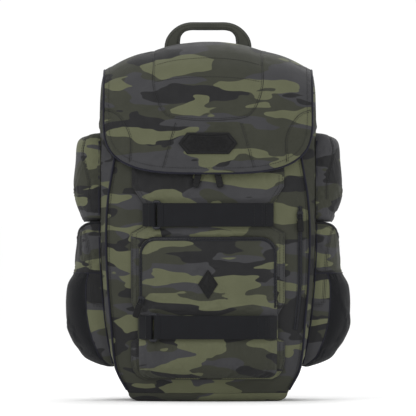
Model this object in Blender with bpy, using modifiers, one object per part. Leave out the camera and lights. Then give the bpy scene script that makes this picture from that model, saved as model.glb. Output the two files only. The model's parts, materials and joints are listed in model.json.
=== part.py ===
"""Camouflage tackle backpack with a hooded lid, as separate sub-parts.

Blender 4.5, metres, +Z up. The front faces -Y, left is -X, and the origin is the centre
of the flat underside. Run: blender --background --python part.py
"""

import math

import bmesh
import bpy
from mathutils import Matrix, Vector

MM = 0.001

# ---------------------------------------------------------------- driving dimensions
LID_HALF = 145.5 * MM           # half the lid's width
CROWN = 38 * MM                 # how far the hull falls away at the lid's side edges
FLOOR_Z = 12 * MM               # where the walls stand on the base
REAR_Y = 84.5 * MM              # rear edge of the side gussets
PANEL = 3 * MM                  # thickness of a body panel
GAP = 0.4 * MM                  # clearance between touching pieces
LID_EDGE_TOP, LID_EDGE_BOTTOM = 410 * MM, 321.3 * MM
LID_CORNER = 3.4                # superellipse power of the lid's lower corners
LID_LEVELS = (10 * MM, 14 * MM)             # lid shell, measured out from the hull
LINING_LEVELS = (7.2 * MM, 8.6 * MM)
LID_REAR = 0.984                # share of the profile where the lid ends
LID_HINGE = (0, 70.8 * MM, 503.4 * MM)
OPENING_HALF = 130 * MM
OPENING_BOTTOM = 328.3 * MM
RIM_HALF = 134.5 * MM           # half distance between the gussets' top edges
RIM_RISE = 5 * MM               # how far the gussets' top edges stand up under the lid
WEBBING = 1.5 * MM              # thickness of strap webbing
STRAP_WIDTH = 32 * MM
RING_BAR = 4.6 * MM             # from a strap ring's middle to each of its bars
BAR_RADIUS = 1.4 * MM
PIPING = 1.5 * MM               # piping radius

# centre line of the hull in side view, (y, z), from the front of the base to the rear top
PROFILE = [
    (-80, 12), (-92, 50), (-97, 120), (-98, 200), (-98, 300), (-96, 360),
    (-87, 410), (-66, 452), (-30, 480), (15, 491.5), (60, 492.5), (78, 490),
]
# (z, half width) of the front panel's piped edge, and of the side walls
EDGE = [(12, 112), (46, 129), (118, 137), (165, 141), (210, 143), (250, 143), (290, 140), (320, 135),
        (347, 131), (380, 132.5), (410, 134.5)]
SIDE = [(0, 106), (12, 113), (45, 130.5), (90, 141), (150, 148), (220, 152), (420, 152), (455, 150),
        (495, 144)]
# (z, half width) of the organiser, pinched where the two straps cross it
ORGANISER = [(31.5, 90), (36, 99), (44, 105), (56, 107.6), (84, 107.6), (88, 98), (121.5, 98), (139, 107.6),
             (236, 107.6), (245, 91.5), (279, 91.5), (302, 106.5), (345, 106.5)]
# (z, half width of the pack) over the upper side pockets and the bottle pockets
UPPER_POCKET = [(252.5, 175.6), (266, 179), (284, 185), (301, 189), (315, 189), (339, 186.5), (362, 184.5),
                (370, 179), (375, 166), (377.5, 155)]
BOTTLE_POCKET = [(49, 141), (57.4, 163), (63, 173), (74, 181), (85, 189), (109, 199), (132, 201.5),
                 (155, 200.5), (167, 197.7), (183, 188.6), (202, 185.8), (227, 183.7), (249, 182)]


# ---------------------------------------------------------------- curves and surfaces
def hermite(p0, p1, p2, p3, t):
    """Catmull-Rom point between p1 and p2."""
    a = (p2 - p0) * 0.5
    b = (p3 - p1) * 0.5
    return (p1 * (2 * t**3 - 3 * t**2 + 1) + a * (t**3 - 2 * t**2 + t)
            + p2 * (3 * t**2 - 2 * t**3) + b * (t**3 - t**2))


def path(points):
    """A smooth curve through the points: a function of its share of length, 0 to 1."""
    points = [Vector(p) for p in points]
    ends = [points[0] * 2 - points[1], *points, points[-1] * 2 - points[-2]]
    lengths = [0.0]
    for a, b in zip(points, points[1:]):
        lengths.append(lengths[-1] + (b - a).length)

    def at(share):
        along = min(max(share, 0.0), 1.0) * lengths[-1]
        i = max(k for k in range(len(points) - 1) if lengths[k] <= along + 1e-12)
        t = (along - lengths[i]) / (lengths[i + 1] - lengths[i])
        return hermite(*ends[i:i + 4], t)

    return at


def table(rows, smooth=True):
    """Interpolates rows of (z, value) in millimetres; takes and gives metres."""
    def at(z):
        z = min(max(z / MM, rows[0][0]), rows[-1][0])
        i = max(k for k in range(len(rows) - 1) if rows[k][0] <= z)
        (z0, a), (z1, b) = rows[i], rows[i + 1]
        t = (z - z0) / (z1 - z0)
        if not smooth:
            return (a + (b - a) * t) * MM
        before = rows[max(i - 1, 0)]
        after = rows[min(i + 2, len(rows) - 1)]
        slope_a = (b - before[1]) / (z1 - before[0])
        slope_b = (after[1] - a) / (after[0] - z0)
        run = z1 - z0
        value = (a * (2 * t**3 - 3 * t**2 + 1) + slope_a * run * (t**3 - 2 * t**2 + t)
                 + b * (3 * t**2 - 2 * t**3) + slope_b * run * (t**3 - t**2))
        return value * MM

    return at


profile = path([(0, y * MM, z * MM) for y, z in PROFILE])
edge_half = table(EDGE)
side_half = table(SIDE)
organiser_half = table(ORGANISER, smooth=False)
upper_pocket_half = table(UPPER_POCKET)
bottle_pocket_half = table(BOTTLE_POCKET)


def share_at(z):
    """Where the profile passes height z on its way up the front."""
    low, high = 0.0, 0.8
    for _ in range(30):
        middle = (low + high) / 2
        low, high = (middle, high) if profile(middle).z < z else (low, middle)
    return (low + high) / 2


def crown(x):
    return CROWN * (x / LID_HALF)**2


def profile_normal(share):
    step = 0.01
    along = profile(min(share + step, 1)) - profile(max(share - step, 0))
    return Vector((0, -along.z, along.y)).normalized()


def hull(share, x, level):
    """A point of the pack's hull: share along the profile, x across, level outwards."""
    return profile(share) + Vector((x, 0, 0)) + profile_normal(share) * (level - crown(x))


def ramp(value, start, end):
    """0 before start, 1 after end, and smooth between them."""
    t = min(max((value - start) / (end - start), 0.0), 1.0)
    return t * t * (3 - 2 * t)


def rim_level(z):
    return RIM_RISE * ramp(z, 360 * MM, 440 * MM)


def front(x, z, level):
    """A point of the front: the hull below the lid, where level runs straight forward."""
    return Vector((x, profile(share_at(z)).y + crown(x) - level, z))


def lid_edge_z(x, half=LID_HALF, bottom=LID_EDGE_BOTTOM):
    """Height of the lid's lower edge, a superellipse that is upright at the sides."""
    share = min(abs(x) / half, 1.0)
    return LID_EDGE_TOP - (LID_EDGE_TOP - bottom) * (1 - share**LID_CORNER)**(1 / LID_CORNER)


def swell(distance, reach):
    """0 at a pocket's edge, rising to 1 at this reach inside it."""
    return math.sin(math.pi / 2 * min(max(distance, 0.0) / reach, 1.0))


def organiser_level(x, z):
    side = swell(organiser_half(z) - abs(x), 20 * MM)
    top = swell(lid_edge_z(x) - z, 60 * MM)
    bottom = swell(z - 31 * MM, 25 * MM)
    return 3 * MM + 7 * MM * side * top * bottom


POCKET_HALF, POCKET_BOTTOM, POCKET_TOP = 96.8 * MM, 33.5 * MM, 231 * MM
POCKET_TOP_RADIUS, POCKET_BOTTOM_RADIUS = 24 * MM, 12 * MM


def rounded_half(z, half, bottom, top, bottom_radius, top_radius):
    """Half width at height z of a rectangle with rounded corners."""
    for radius, into in ((top_radius, top - z), (bottom_radius, z - bottom)):
        if into < radius:
            rise = radius - max(into, 0.0)
            return half - radius + math.sqrt(max(radius**2 - rise**2, 0.0))
    return half


def pocket_half(z):
    return rounded_half(z, POCKET_HALF, POCKET_BOTTOM, POCKET_TOP, POCKET_BOTTOM_RADIUS, POCKET_TOP_RADIUS)


def pocket_level(x, z):
    inside = min(pocket_half(z) - abs(x), POCKET_TOP - z, z - POCKET_BOTTOM)
    return organiser_level(x, z) + 3.5 * GAP + MM + 7.5 * MM * swell(inside, 24 * MM)


# ---------------------------------------------------------------- object builders
def clear_scene():
    for obj in list(bpy.data.objects):
        bpy.data.objects.remove(obj, do_unlink=True)


def material(name, colour, roughness, metallic=0.0):
    made = bpy.data.materials.new(name)
    made.use_nodes = True
    shader = made.node_tree.nodes["Principled BSDF"]
    shader.inputs["Base Color"].default_value = (*colour, 1)
    shader.inputs["Roughness"].default_value = roughness
    shader.inputs["Metallic"].default_value = metallic
    return made


def add_object(name, data, slot):
    obj = bpy.data.objects.new(name, data)
    COLLECTION.objects.link(obj)
    data.materials.append(MATERIALS[slot])
    return obj


def evenly(count):
    return [i / count for i in range(1, count)]


def bent_box(name, shape, columns, rows, slot, smooth=True):
    """A unit box sliced into columns and rows, each corner (u, v, w) moved to shape(u, v, w).

    u and v run over the sheet and w through it, from its inner to its outer face.
    """
    mesh = bmesh.new()
    bmesh.ops.create_cube(mesh, size=1, matrix=Matrix.Translation((0.5, 0.5, 0.5)))
    for axis, cuts in ((0, columns), (1, rows)):
        cuts = evenly(cuts) if isinstance(cuts, int) else cuts
        normal = [float(k == axis) for k in range(3)]
        for cut in cuts:
            everything = mesh.verts[:] + mesh.edges[:] + mesh.faces[:]
            bmesh.ops.bisect_plane(mesh, geom=everything, dist=1e-7, plane_co=[n * cut for n in normal],
                                   plane_no=normal)
    for vertex in mesh.verts:
        vertex.co = shape(*vertex.co)
    if mesh.calc_volume(signed=True) < 0:
        bmesh.ops.reverse_faces(mesh, faces=mesh.faces)
    data = bpy.data.meshes.new(name)
    mesh.to_mesh(data)
    mesh.free()
    if smooth:
        data.shade_smooth()
        data.set_sharp_from_angle(angle=math.radians(40))
    return add_object(name, data, slot)


def tube(name, points, radius, slot):
    """A round cord or piping through the points."""
    data = bpy.data.curves.new(name, "CURVE")
    data.dimensions = "3D"
    data.bevel_depth = radius
    data.bevel_resolution = 2
    data.use_fill_caps = True
    spline = data.splines.new("POLY")
    spline.points.add(len(points) - 1)
    for point, where in zip(spline.points, points):
        point.co = (*where, 1)
    return add_object(name, data, slot)


def plate(name, outlines, thickness, slot, location, bevel=0.0):
    """A flat plate standing in the XZ plane: closed outlines of (x, z), the first is the outside."""
    data = bpy.data.curves.new(name, "CURVE")
    data.dimensions = "2D"
    data.fill_mode = "BOTH"
    data.extrude = thickness / 2 - bevel
    data.bevel_depth = bevel
    data.bevel_resolution = 0
    data.offset = -bevel
    for outline in outlines:
        spline = data.splines.new("POLY")
        spline.points.add(len(outline) - 1)
        spline.use_cyclic_u = True
        for point, (x, z) in zip(spline.points, outline):
            point.co = (x, z, 0, 1)
    obj = add_object(name, data, slot)
    obj.rotation_euler = (math.pi / 2, 0, 0)
    obj.location = location
    return obj


def block(name, size, slot, bevel, centre=(0, 0, 0)):
    """A bevelled box, its size in X, Y and Z."""
    mesh = bmesh.new()
    place = Matrix.Translation(centre) @ Matrix.Diagonal((*size, 1))
    bmesh.ops.create_cube(mesh, size=1, matrix=place)
    data = bpy.data.meshes.new(name)
    mesh.to_mesh(data)
    mesh.free()
    obj = add_object(name, data, slot)
    edges = obj.modifiers.new("Bevel", "BEVEL")
    edges.width = bevel
    edges.segments = 1
    return obj


def helper(obj):
    """Turns an object into a hidden cutter or joiner for a Boolean."""
    COLLECTION.objects.unlink(obj)
    HELPERS.objects.link(obj)
    obj.hide_render = True
    obj.display_type = "WIRE"
    return obj


def combine(obj, other, operation):
    """Cuts the other object out of this one, or joins it on."""
    boolean = obj.modifiers.new(operation.title(), "BOOLEAN")
    boolean.operation = operation
    boolean.object = helper(other)
    return obj


def turn_about(name, place, *pieces):
    """An empty on a joint's axis that carries the pieces turning with it."""
    pivot = bpy.data.objects.new(name, None)
    pivot.empty_display_size = 20 * MM
    pivot.location = place
    COLLECTION.objects.link(pivot)
    for piece in pieces:
        piece.parent = pivot
        piece.matrix_parent_inverse = Matrix.Translation(place).inverted()


def arc(centre, radius, start, end, steps):
    """Points of an arc in a plane, with angles in degrees."""
    angles = [math.radians(start + (end - start) * i / steps) for i in range(steps + 1)]
    return [(centre[0] + radius * math.cos(a), centre[1] + radius * math.sin(a)) for a in angles]


def rounded_rectangle(width, height, radius, steps=3):
    x, z = width / 2 - radius, height / 2 - radius
    corners = (((x, z), 0), ((-x, z), 90), ((-x, -z), 180), ((x, -z), 270))
    return [p for centre, start in corners for p in arc(centre, radius, start, start + 90, steps)]


def sides():
    return (("left", -1), ("right", 1))


# ---------------------------------------------------------------- main shell
def make_front_panel():
    def shape(u, v, w):
        share = 2 * u - 1
        top_x = share * edge_half(350 * MM)
        top = lid_edge_z(top_x, OPENING_HALF + 3 * MM, OPENING_BOTTOM) - 4.5 * MM
        z = FLOOR_Z + v * (top - FLOOR_Z)
        x = share * (edge_half(z) - 1.4 * MM)
        return front(x, z, (w - 1) * PANEL)

    bent_box("front_panel", shape, 12, [0.04, 0.08, 0.13, *evenly(12)[1:]], "camo")


def make_side_gussets():
    def rim(share):
        """The gusset's edge: up the piped front corner and over the top."""
        spine = profile(share)
        x = edge_half(spine.z) if share < share_at(LID_EDGE_TOP) else RIM_HALF
        upright = 1 - ramp(spine.z, 300 * MM, 360 * MM)
        normal = profile_normal(share).lerp(Vector((0, -1, 0)), upright).normalized()
        return spine + Vector((x, 0, 0)) + normal * (rim_level(spine.z) - crown(x)), normal

    def shape(u, v, w, sign):
        start, normal = rim(share_at(FLOOR_Z) + v * (1 - share_at(FLOOR_Z)))
        end = Vector((0, REAR_Y, FLOOR_Z + v * 445.5 * MM))
        point = start.lerp(end, u)
        turn = swell(u, 0.16)
        point.x = start.x + (side_half(point.z) - start.x) * turn
        out = normal.lerp(Vector((1, 0, 0)), turn).normalized()
        point -= out * (1 - w) * PANEL
        return Vector((sign * point.x, point.y, point.z))

    columns = [0.04, 0.08, 0.12, 0.16, 0.37, 0.58, 0.79]
    for side, sign in sides():
        rows = [0.02, 0.04, 0.065, 0.09, *evenly(16)[1:]]
        bent_box(f"side_gusset_{side}", lambda u, v, w: shape(u, v, w, sign), columns, rows, "camo")


def make_base():
    def shape(u, v, w):
        inset = (1 - w) * 4 * MM
        half = side_half(FLOOR_Z) - 1 * MM - inset
        x = (2 * u - 1) * half
        front_y = front(x, FLOOR_Z, 0).y + inset
        y = front_y + v * (REAR_Y - inset - front_y)
        edge = min(half - abs(x), y - front_y)
        low = 4 * MM * (1 - swell(edge, 12 * MM))
        return Vector((x, y, low + w * (FLOOR_Z - GAP - low)))

    edges = [0.02, 0.06]
    columns = edges + [0.15, 0.25, 0.35, 0.45, 0.55, 0.65, 0.75, 0.85] + [1 - e for e in reversed(edges)]
    bent_box("base_panel", shape, columns, [0.03, 0.08, 0.5], "camo")


def make_back():
    def sheet(low, y0, y1, inset, top, fall):
        def shape(u, v, w):
            z_top = top - fall * (2 * u - 1)**2
            z = low + v * (z_top - low)
            return Vector(((2 * u - 1) * (side_half(z) - inset), y0 + w * (y1 - y0), z))

        return shape

    rear = REAR_Y + 0.6 * MM
    bent_box("back_panel", sheet(3 * MM, rear, 97.5 * MM, 4 * MM, 485.5 * MM, 38 * MM), 12, 12, "back_mesh")
    low = FLOOR_Z + 2 * MM
    bent_box("frame_sheet", sheet(low, 82 * MM, 84 * MM, 12 * MM, 455 * MM, 30 * MM), 6, 6, "plastic_sheet")
    bent_box("inner_sleeve", sheet(low, 64 * MM, 67 * MM, 14 * MM, 330 * MM, 0), 6, 6, "lining")


def make_yoke():
    """The padded roll between the lid and the back panel, which the handle is sewn to."""
    section = [(74.2, 486.8), (74.2, 504), (80, 503.5), (87.5, 500), (93.5, 493.5), (97, 486.8)]
    top, bottom = section[1:], [section[0], *[(y, 486.8) for y, _ in section[2:-1]], section[-1]]

    def shape(u, v, w):
        x = (2 * u - 1) * (RIM_HALF - 1.5 * MM)
        line = top if w > 0.5 else bottom
        i = min(int(v * 4 + 1e-6), 3)
        (y0, z0), (y1, z1) = line[i], line[i + 1]
        t = v * 4 - i
        return Vector((x, (y0 + (y1 - y0) * t) * MM - 0.13 * crown(x), (z0 + (z1 - z0) * t) * MM - crown(x)))

    bent_box("top_yoke", shape, 12, 4, "camo")


def make_piping():
    """Piping over the two seams between the front panel and the side gussets."""
    for side, sign in sides():
        heights = [FLOOR_Z + 4 * MM + i * 13 * MM for i in range(27)]
        points = [front(sign * edge_half(z), z, PIPING + 1.5 * GAP) for z in heights]
        tube(f"front_piping_{side}", points, PIPING, "piping")


def opening_point(share, half, bottom, z_end=1.0):
    """(profile share, x) along a U: down the left side from the rear, round below, up the right."""
    side_length = 0.36
    if share < side_length or share > 1 - side_length:
        sign = -1 if share < 0.5 else 1
        up = 1 - min(share, 1 - share) / side_length
        turn = share_at(LID_EDGE_TOP)
        return turn + up * (z_end - turn), sign * half
    x = half * math.sin(math.pi * ((share - side_length) / (1 - 2 * side_length) - 0.5))
    return share_at(lid_edge_z(x, half, bottom)), x


def make_main_zip():
    def centre(share, level):
        along, x = opening_point(share, OPENING_HALF, OPENING_BOTTOM, 0.97)
        return hull(along, x, level + rim_level(profile(along).z))

    def shape(u, v, w):
        step = 0.004
        ahead = centre(min(u + step, 1), 0) - centre(max(u - step, 0), 0)
        up = centre(u, 1 * MM) - centre(u, 0)
        across = ahead.cross(up).normalized()
        return centre(u, GAP / 2 + w * 1.2 * MM) + across * (v - 0.5) * 7 * MM

    bent_box("main_zip_track", shape, 44, 1, "zip_tape")


# ---------------------------------------------------------------- lid
def lid_layer(name, levels, inset, columns, rows, slot):
    def shape(u, v, w):
        half = LID_HALF - inset
        x = half * math.sin(math.pi * (u - 0.5))
        start = share_at(lid_edge_z(x, half, LID_EDGE_BOTTOM + inset))
        share = start + v * (LID_REAR - inset / 2 - start)
        return hull(share, x, levels[0] + w * (levels[1] - levels[0]))

    return bent_box(name, shape, columns, rows, slot)


def make_lid():
    """The lid's moving pieces, and the strip of cloth that hinges it. Returns the moving ones."""
    shell = lid_layer("lid_shell", LID_LEVELS, 0, 16, 12, "camo")
    lining = lid_layer("lid_lining", LINING_LEVELS, 20 * MM, 14, 10, "lining")
    middle = (LID_LEVELS[0] + LID_LEVELS[1]) / 2
    outside = PIPING + 1.5 * GAP
    points = []
    for i in range(49):
        share, x = opening_point(i / 48, LID_HALF + outside, LID_EDGE_BOTTOM - outside, LID_REAR)
        points.append(hull(share, x, middle))
    piping = tube("lid_piping", points, PIPING, "piping")

    def strip(u, v, w):
        x = (2 * u - 1) * 75 * MM
        return Vector((x, (70 + 1.2 * w) * MM - 0.13 * crown(x), (482 + 16 * v) * MM - crown(x)))

    bent_box("lid_hinge_strip", strip, 8, 1, "camo_dark")
    return [shell, lining, piping]


def make_badge():
    """A long hexagonal moulded badge on the lid's front."""
    half_length, half_height, taper, middle = 41.5 * MM, 15 * MM, 12 * MM, 362 * MM

    def shape(u, v, w):
        up = 2 * v - 1
        x = (2 * u - 1) * (half_length - taper * abs(up) - (w * 1.5 * MM))
        share = share_at(middle + up * (half_height - w * MM))
        return hull(share, x, LID_LEVELS[1] + GAP + w * 2.4 * MM)

    return bent_box("lid_badge", shape, 6, 4, "rubber")


# ---------------------------------------------------------------- front pockets
def make_organiser():
    def shape(u, v, w):
        share = 2 * u - 1
        top = lid_edge_z(share * 106 * MM) - 1.5 * MM
        z = 31.5 * MM + v * (top - 31.5 * MM)
        x = share * organiser_half(z)
        return front(x, z, GAP + w * (organiser_level(x, z) - GAP))

    # rows at the corners of its pinched outline, in shares of its height
    heights = [34, 38, 44, 52, 60, 84, 88, 105, 121.5, 139, 165, 190, 215, 236, 245, 262, 279, 302]
    rows = [(z - 31.5) / (320 - 31.5) for z in heights]
    columns = [0.03, 0.06, 0.1, 0.15, 0.22, 0.31, 0.4, 0.5, 0.6, 0.69, 0.78, 0.85, 0.9, 0.94, 0.97]
    bent_box("organiser_panel", shape, columns, rows, "camo")


def make_front_pocket():
    height = POCKET_TOP - POCKET_BOTTOM

    def shape(u, v, w):
        z = POCKET_BOTTOM + v * height
        x = (2 * u - 1) * pocket_half(z)
        low = organiser_level(x, z) + 3.5 * GAP
        return front(x, z, low + w * (pocket_level(x, z) - low))

    heights = [1.5, 5, 10, 20, 35, 50.5, 54.5, 71, 88, 105.5, 130, 160, 174, 181, 187, 192, 195.5]
    rows = [h * MM / height for h in heights]
    columns = [0.02, 0.05, 0.08, 0.12, 0.17, 0.27, 0.38, 0.5, 0.62, 0.73, 0.83, 0.88, 0.92, 0.95, 0.98]
    bent_box("front_pocket", shape, columns, rows, "camo")


def zip_path(half, top, radius, left_end, right_end):
    """A zip that goes up the left side, over and down the right side of a pocket, in (x, z)."""
    points = [(-half, left_end), (-half, top - radius)]
    points += arc((-half + radius, top - radius), radius, 180, 90, 5)[1:]
    points += arc((half - radius, top - radius), radius, 90, 0, 5)
    points.append((half, right_end))
    return points


def draped_strip(name, points, width, level, thickness, slot):
    """A narrow strip along points (x, z), lying on a pocket or panel of that level."""
    points = [Vector(p) for p in points]
    last = len(points) - 1

    def shape(u, v, w):
        i = min(round(u * last), last)
        ahead = (points[min(i + 1, last)] - points[max(i - 1, 0)]).normalized()
        side = Vector((-ahead.y, ahead.x)) * (v - 0.5) * width
        x, z = points[i] + side
        return front(x, z, level(x, z) + 3 * GAP + w * thickness)

    return bent_box(name, shape, last, 1, slot)


ZIP_X, ZIP_TOP = 94 * MM, 228 * MM
SIDE_ZIP_X = 129.2 * MM


def make_front_zips():
    route = zip_path(ZIP_X, ZIP_TOP, 21 * MM, 139.4 * MM, 132 * MM)
    straight = [(-ZIP_X, z * MM) for z in (160, 180)]
    across = [(x * MM, ZIP_TOP) for x in (-45, -15, 15, 45)]
    down = [(ZIP_X, z * MM) for z in (180, 155)]
    route = route[:1] + straight + route[1:7] + across + route[7:13] + down + route[13:]
    draped_strip("front_pocket_zip", route, 4.6 * MM, pocket_level, 1.2 * MM, "zip_tape")
    side = [(SIDE_ZIP_X, z * MM) for z in (274, 250, 225, 200, 178)]
    side += [(x * MM, z * MM) for x, z in ((128.2, 155), (126, 130), (122.6, 101))]
    draped_strip("side_zip", side, 6 * MM, lambda x, z: 0.0, 1.2 * MM, "zip_tape")


def make_emblem():
    """A plain lozenge patch on the front pocket."""
    def shape(u, v, w):
        up = 2 * v - 1
        z = 165 * MM + up * 21 * MM
        x = (2 * u - 1) * (2.5 * MM + 11.5 * MM * (1 - abs(up)))
        return front(x, z, pocket_level(x, z) + GAP + w * 1.6 * MM)

    bent_box("pocket_emblem", shape, 4, 4, "rubber")


# ---------------------------------------------------------------- tackle straps on the front
class Strap:
    """A hook-and-loop strap: sewn down at the right, round a ring at the left, folded back.

    Its routes are lists of (x, forward), where forward is -y at the strap's middle height.
    """

    def __init__(self, name, middle, half, ring_x, level):
        self.name, self.middle, self.half, self.level = name, middle, half, level
        rest = 5 * GAP + WEBBING + BAR_RADIUS
        self.bars = [self.over(ring_x + side * RING_BAR, rest) for side in (-1, 1)]

    def over(self, x, above):
        """The route point at x, this far above what lies under the strap's whole width."""
        heights = [self.middle + k * STRAP_WIDTH / 4 for k in (-2, -1, 0, 1, 2)]
        surface = max(self.level(x + near, z) for z in heights for near in (-1.5 * MM, 0, 1.5 * MM))
        return Vector((x, above + surface - front(x, self.middle, 0).y))

    def place(self, point, v):
        """The route point moved to its place across the strap's width."""
        x, forward = point
        z = self.middle + (v - 0.5) * STRAP_WIDTH
        lean = front(x, z, 0).y - front(x, self.middle, 0).y
        return Vector((x, lean - forward, z))

    def webbing(self, part, route):
        route = [Vector(p) for p in route]
        last = len(route) - 1

        def shape(u, v, w):
            i = min(round(u * last), last)
            ahead = (route[min(i + 1, last)] - route[max(i - 1, 0)]).normalized()
            return self.place(route[i] + Vector((-ahead.y, ahead.x)) * (w - 0.5) * WEBBING, v)

        return bent_box(f"{self.name}_{part}", shape, last, 1, "webbing")

    def wrap(self, bar, start, end):
        """Part of a turn of webbing round a bar, with angles in degrees from +X."""
        return arc(bar, BAR_RADIUS + 2 * GAP + WEBBING / 2, start, end, 6)


def make_strap(name, middle, half, ring_x, level):
    strap = Strap(name, middle, half, ring_x, level)
    low = 3.5 * GAP + WEBBING / 2
    left, right = strap.bars
    centre, reach = (half + right.x) / 2, (half - right.x) / 2
    # from the right seam to below the ring's right bar, up round it, and a little way back
    places = [centre + reach * math.cos(math.pi * i / 18) for i in range(18)]
    under = [strap.over(x, low) for x in places]
    top = strap.wrap(right, 90, 90)[0][1]
    fold_x = right.x + 5 * MM
    strap.webbing("under", under + strap.wrap(right, -90, -270) + [(fold_x, top)])
    # the loose end, pressed down on the strap
    end = half - 12 * MM
    lie = 4.5 * GAP + 1.5 * WEBBING
    rest = [strap.over(x, lie) for x in reversed(places) if fold_x + 9 * MM < x < end - 1 * MM]
    slope = [Vector((fold_x + 4 * MM, top)).lerp(rest[0], 0.3)]
    flap = strap.webbing("flap", [(fold_x + GAP, top), *slope, *rest, strap.over(end, lie)])
    turn_about(f"{name}_pivot", strap.place((fold_x + GAP, top), 0.5), flap)
    # the short tab that holds the ring, folded round its left bar
    seam = [strap.over(-half + i / 4 * (left.x + half), low) for i in range(4)]
    strap.webbing("tab", seam + strap.wrap(left, -90, 90) + [(left.x - 6 * MM, strap.wrap(left, 90, 90)[0][1])])
    make_ring(strap)


def make_ring(strap):
    """The ring: two upright bars joined by wider end pieces above and below the strap."""
    left, right = strap.bars
    span = (right - left).length / 2
    slot_half, bar_half = span - BAR_RADIUS, span + BAR_RADIUS
    inner, outer, wide = STRAP_WIDTH / 2 + 0.8 * MM, STRAP_WIDTH / 2 + 4 * MM, bar_half + 1.8 * MM
    quarter = [(bar_half, inner), (wide, inner), (wide, inner + 1.2 * MM), (bar_half - MM, outer)]
    outside = quarter + [(-a, b) for a, b in reversed(quarter)]
    outside += [(-a, -b) for a, b in quarter] + [(a, -b) for a, b in reversed(quarter)]
    window = [(slot_half, inner), (-slot_half, inner), (-slot_half, -inner), (slot_half, -inner)]
    centre = strap.place((left + right) / 2, 0.5)
    ring = plate(f"{strap.name}_ring", [outside, window], 2 * MM, "hardware", centre, 0.3 * MM)
    slope = strap.place(right, 0.5) - strap.place(left, 0.5)
    lean = strap.place(right, 1) - strap.place(right, 0)
    ring.rotation_euler = (math.pi / 2 - math.atan2(lean.y, lean.z), 0, math.atan2(slope.y, slope.x))


# ---------------------------------------------------------------- side pockets
POCKET_MIDDLE_Y, POCKET_HALF_DEPTH = 10 * MM, 57 * MM
SECTION_POWER = 0.72            # how square the pockets' plan section is
BOTTLE_WALL = 2.5 * MM
BOTTLE_BOTTOM, UPPER_BOTTOM, UPPER_TOP = 49 * MM, 252.1 * MM, 377.5 * MM
MESH_TOP = 180 * MM
MESH_START = 19                 # degrees round the pocket, from its front seam, where the mesh begins


def section(turn, depth, half_depth):
    """A half oval in plan at this turn in degrees: (out from the gusset, along y)."""
    a = math.radians(turn)
    cosine = math.cos(a)
    return depth * abs(math.sin(a))**SECTION_POWER, math.copysign(abs(cosine)**SECTION_POWER, -cosine) * half_depth


def mouth_z(y):
    """The bottle pocket's slanted mouth, high in front and low behind."""
    return 251.5 * MM - (y + 48 * MM) / (116 * MM) * 47 * MM


def bottle_wall(name, sign, turns, low, high, columns, rows, slot):
    """One panel of a bottle pocket between two turns. low and high give its z range at y."""
    def shape(u, v, w):
        turn = turns[0] + u * (turns[1] - turns[0])
        y = section(turn, 0, POCKET_HALF_DEPTH)[1] + POCKET_MIDDLE_Y
        z = low(y) + v * (high(y) - low(y))
        wall = side_half(z) + 1.5 * GAP
        depth = bottle_pocket_half(z) - wall
        half_depth = rounded_half(z, POCKET_HALF_DEPTH, BOTTLE_BOTTOM, 1, 24 * MM, 0.1 * MM)
        if w < 0.5:
            closing = min(max((z - BOTTLE_BOTTOM) / (14 * MM), 0.0), 1.0)
            depth = (depth - BOTTLE_WALL) * closing + 0.3 * MM * (1 - closing)
            half_depth -= BOTTLE_WALL
        out, along = section(turn, depth, half_depth)
        return Vector((sign * (wall + out), POCKET_MIDDLE_Y + along, z))

    bent_box(name, shape, columns, rows, slot)


def make_side_pockets():
    seam = 1.5
    for side, sign in sides():
        bottle_wall(f"bottle_pocket_front_{side}", sign, (0, MESH_START - seam), lambda y: BOTTLE_BOTTOM,
                    lambda y: MESH_TOP - GAP / 2, 3, 9, "camo")
        bottle_wall(f"bottle_pocket_mesh_{side}", sign, (MESH_START + seam, 180), lambda y: BOTTLE_BOTTOM,
                    lambda y: MESH_TOP - GAP / 2, 10, 9, "stretch_mesh")
        bottle_wall(f"bottle_pocket_band_{side}", sign, (0, 180), lambda y: MESH_TOP + GAP / 2, mouth_z, 12, 2,
                    "camo")

        def upper(u, v, w, sign=sign):
            z = UPPER_BOTTOM + (UPPER_TOP - UPPER_BOTTOM) * v
            wall = side_half(z) + 1.5 * GAP
            depth = (upper_pocket_half(z) - wall) * w
            half_depth = rounded_half(z, 52 * MM, UPPER_BOTTOM, UPPER_TOP, 14 * MM, 20 * MM)
            out, along = section(180 * u, depth, half_depth)
            return Vector((sign * (wall + out), along + 3 * MM, z))

        rows = [0.03, 0.08, 0.16, 0.3, 0.45, 0.6, 0.75, 0.86, 0.93, 0.98]
        bent_box(f"upper_side_pocket_{side}", upper, 12, rows, "camo")


# ---------------------------------------------------------------- zip sliders and pulls
SLIDER_DEPTH = 2.8 * MM
BAIL_HEIGHT = 1.7 * MM          # from the slider's face to the pull's pivot
PIVOT = SLIDER_DEPTH + BAIL_HEIGHT


def make_slider(name, place, upright):
    """A slider on a zip at place, the middle of its rear face; its bail stands forward, in the YZ plane."""
    length, width = 10 * MM, 8 * MM
    size = (width, SLIDER_DEPTH, length) if upright else (length, SLIDER_DEPTH, width)
    slider = block(name, size, "hardware", 0.7 * MM, (0, -SLIDER_DEPTH / 2, 0))
    slider.location = place
    start = -SLIDER_DEPTH + 0.5 * MM
    reach = BAIL_HEIGHT + 1.9 * MM
    bend = arc((0, 0), 1, 180, 0, 6)
    points = [(0, start, -2.6 * MM)] + [(0, -SLIDER_DEPTH - reach * b, 2.6 * MM * a) for a, b in bend[1:-1]]
    points.append((0, start, 2.6 * MM))
    bail = tube(name + "_bail", points, 0.5 * MM, "hardware")
    graph = bpy.context.evaluated_depsgraph_get()
    data = bpy.data.meshes.new_from_object(bail.evaluated_get(graph))
    bpy.data.objects.remove(bail)
    welded = bmesh.new()
    welded.from_mesh(data)
    bmesh.ops.remove_doubles(welded, verts=welded.verts, dist=1e-6)
    welded.to_mesh(data)
    welded.free()
    bail = add_object(name + "_bail", data, "hardware")
    bail.location = place
    combine(slider, bail, "UNION")
    return place + Vector((0, -PIVOT, 0))


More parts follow.
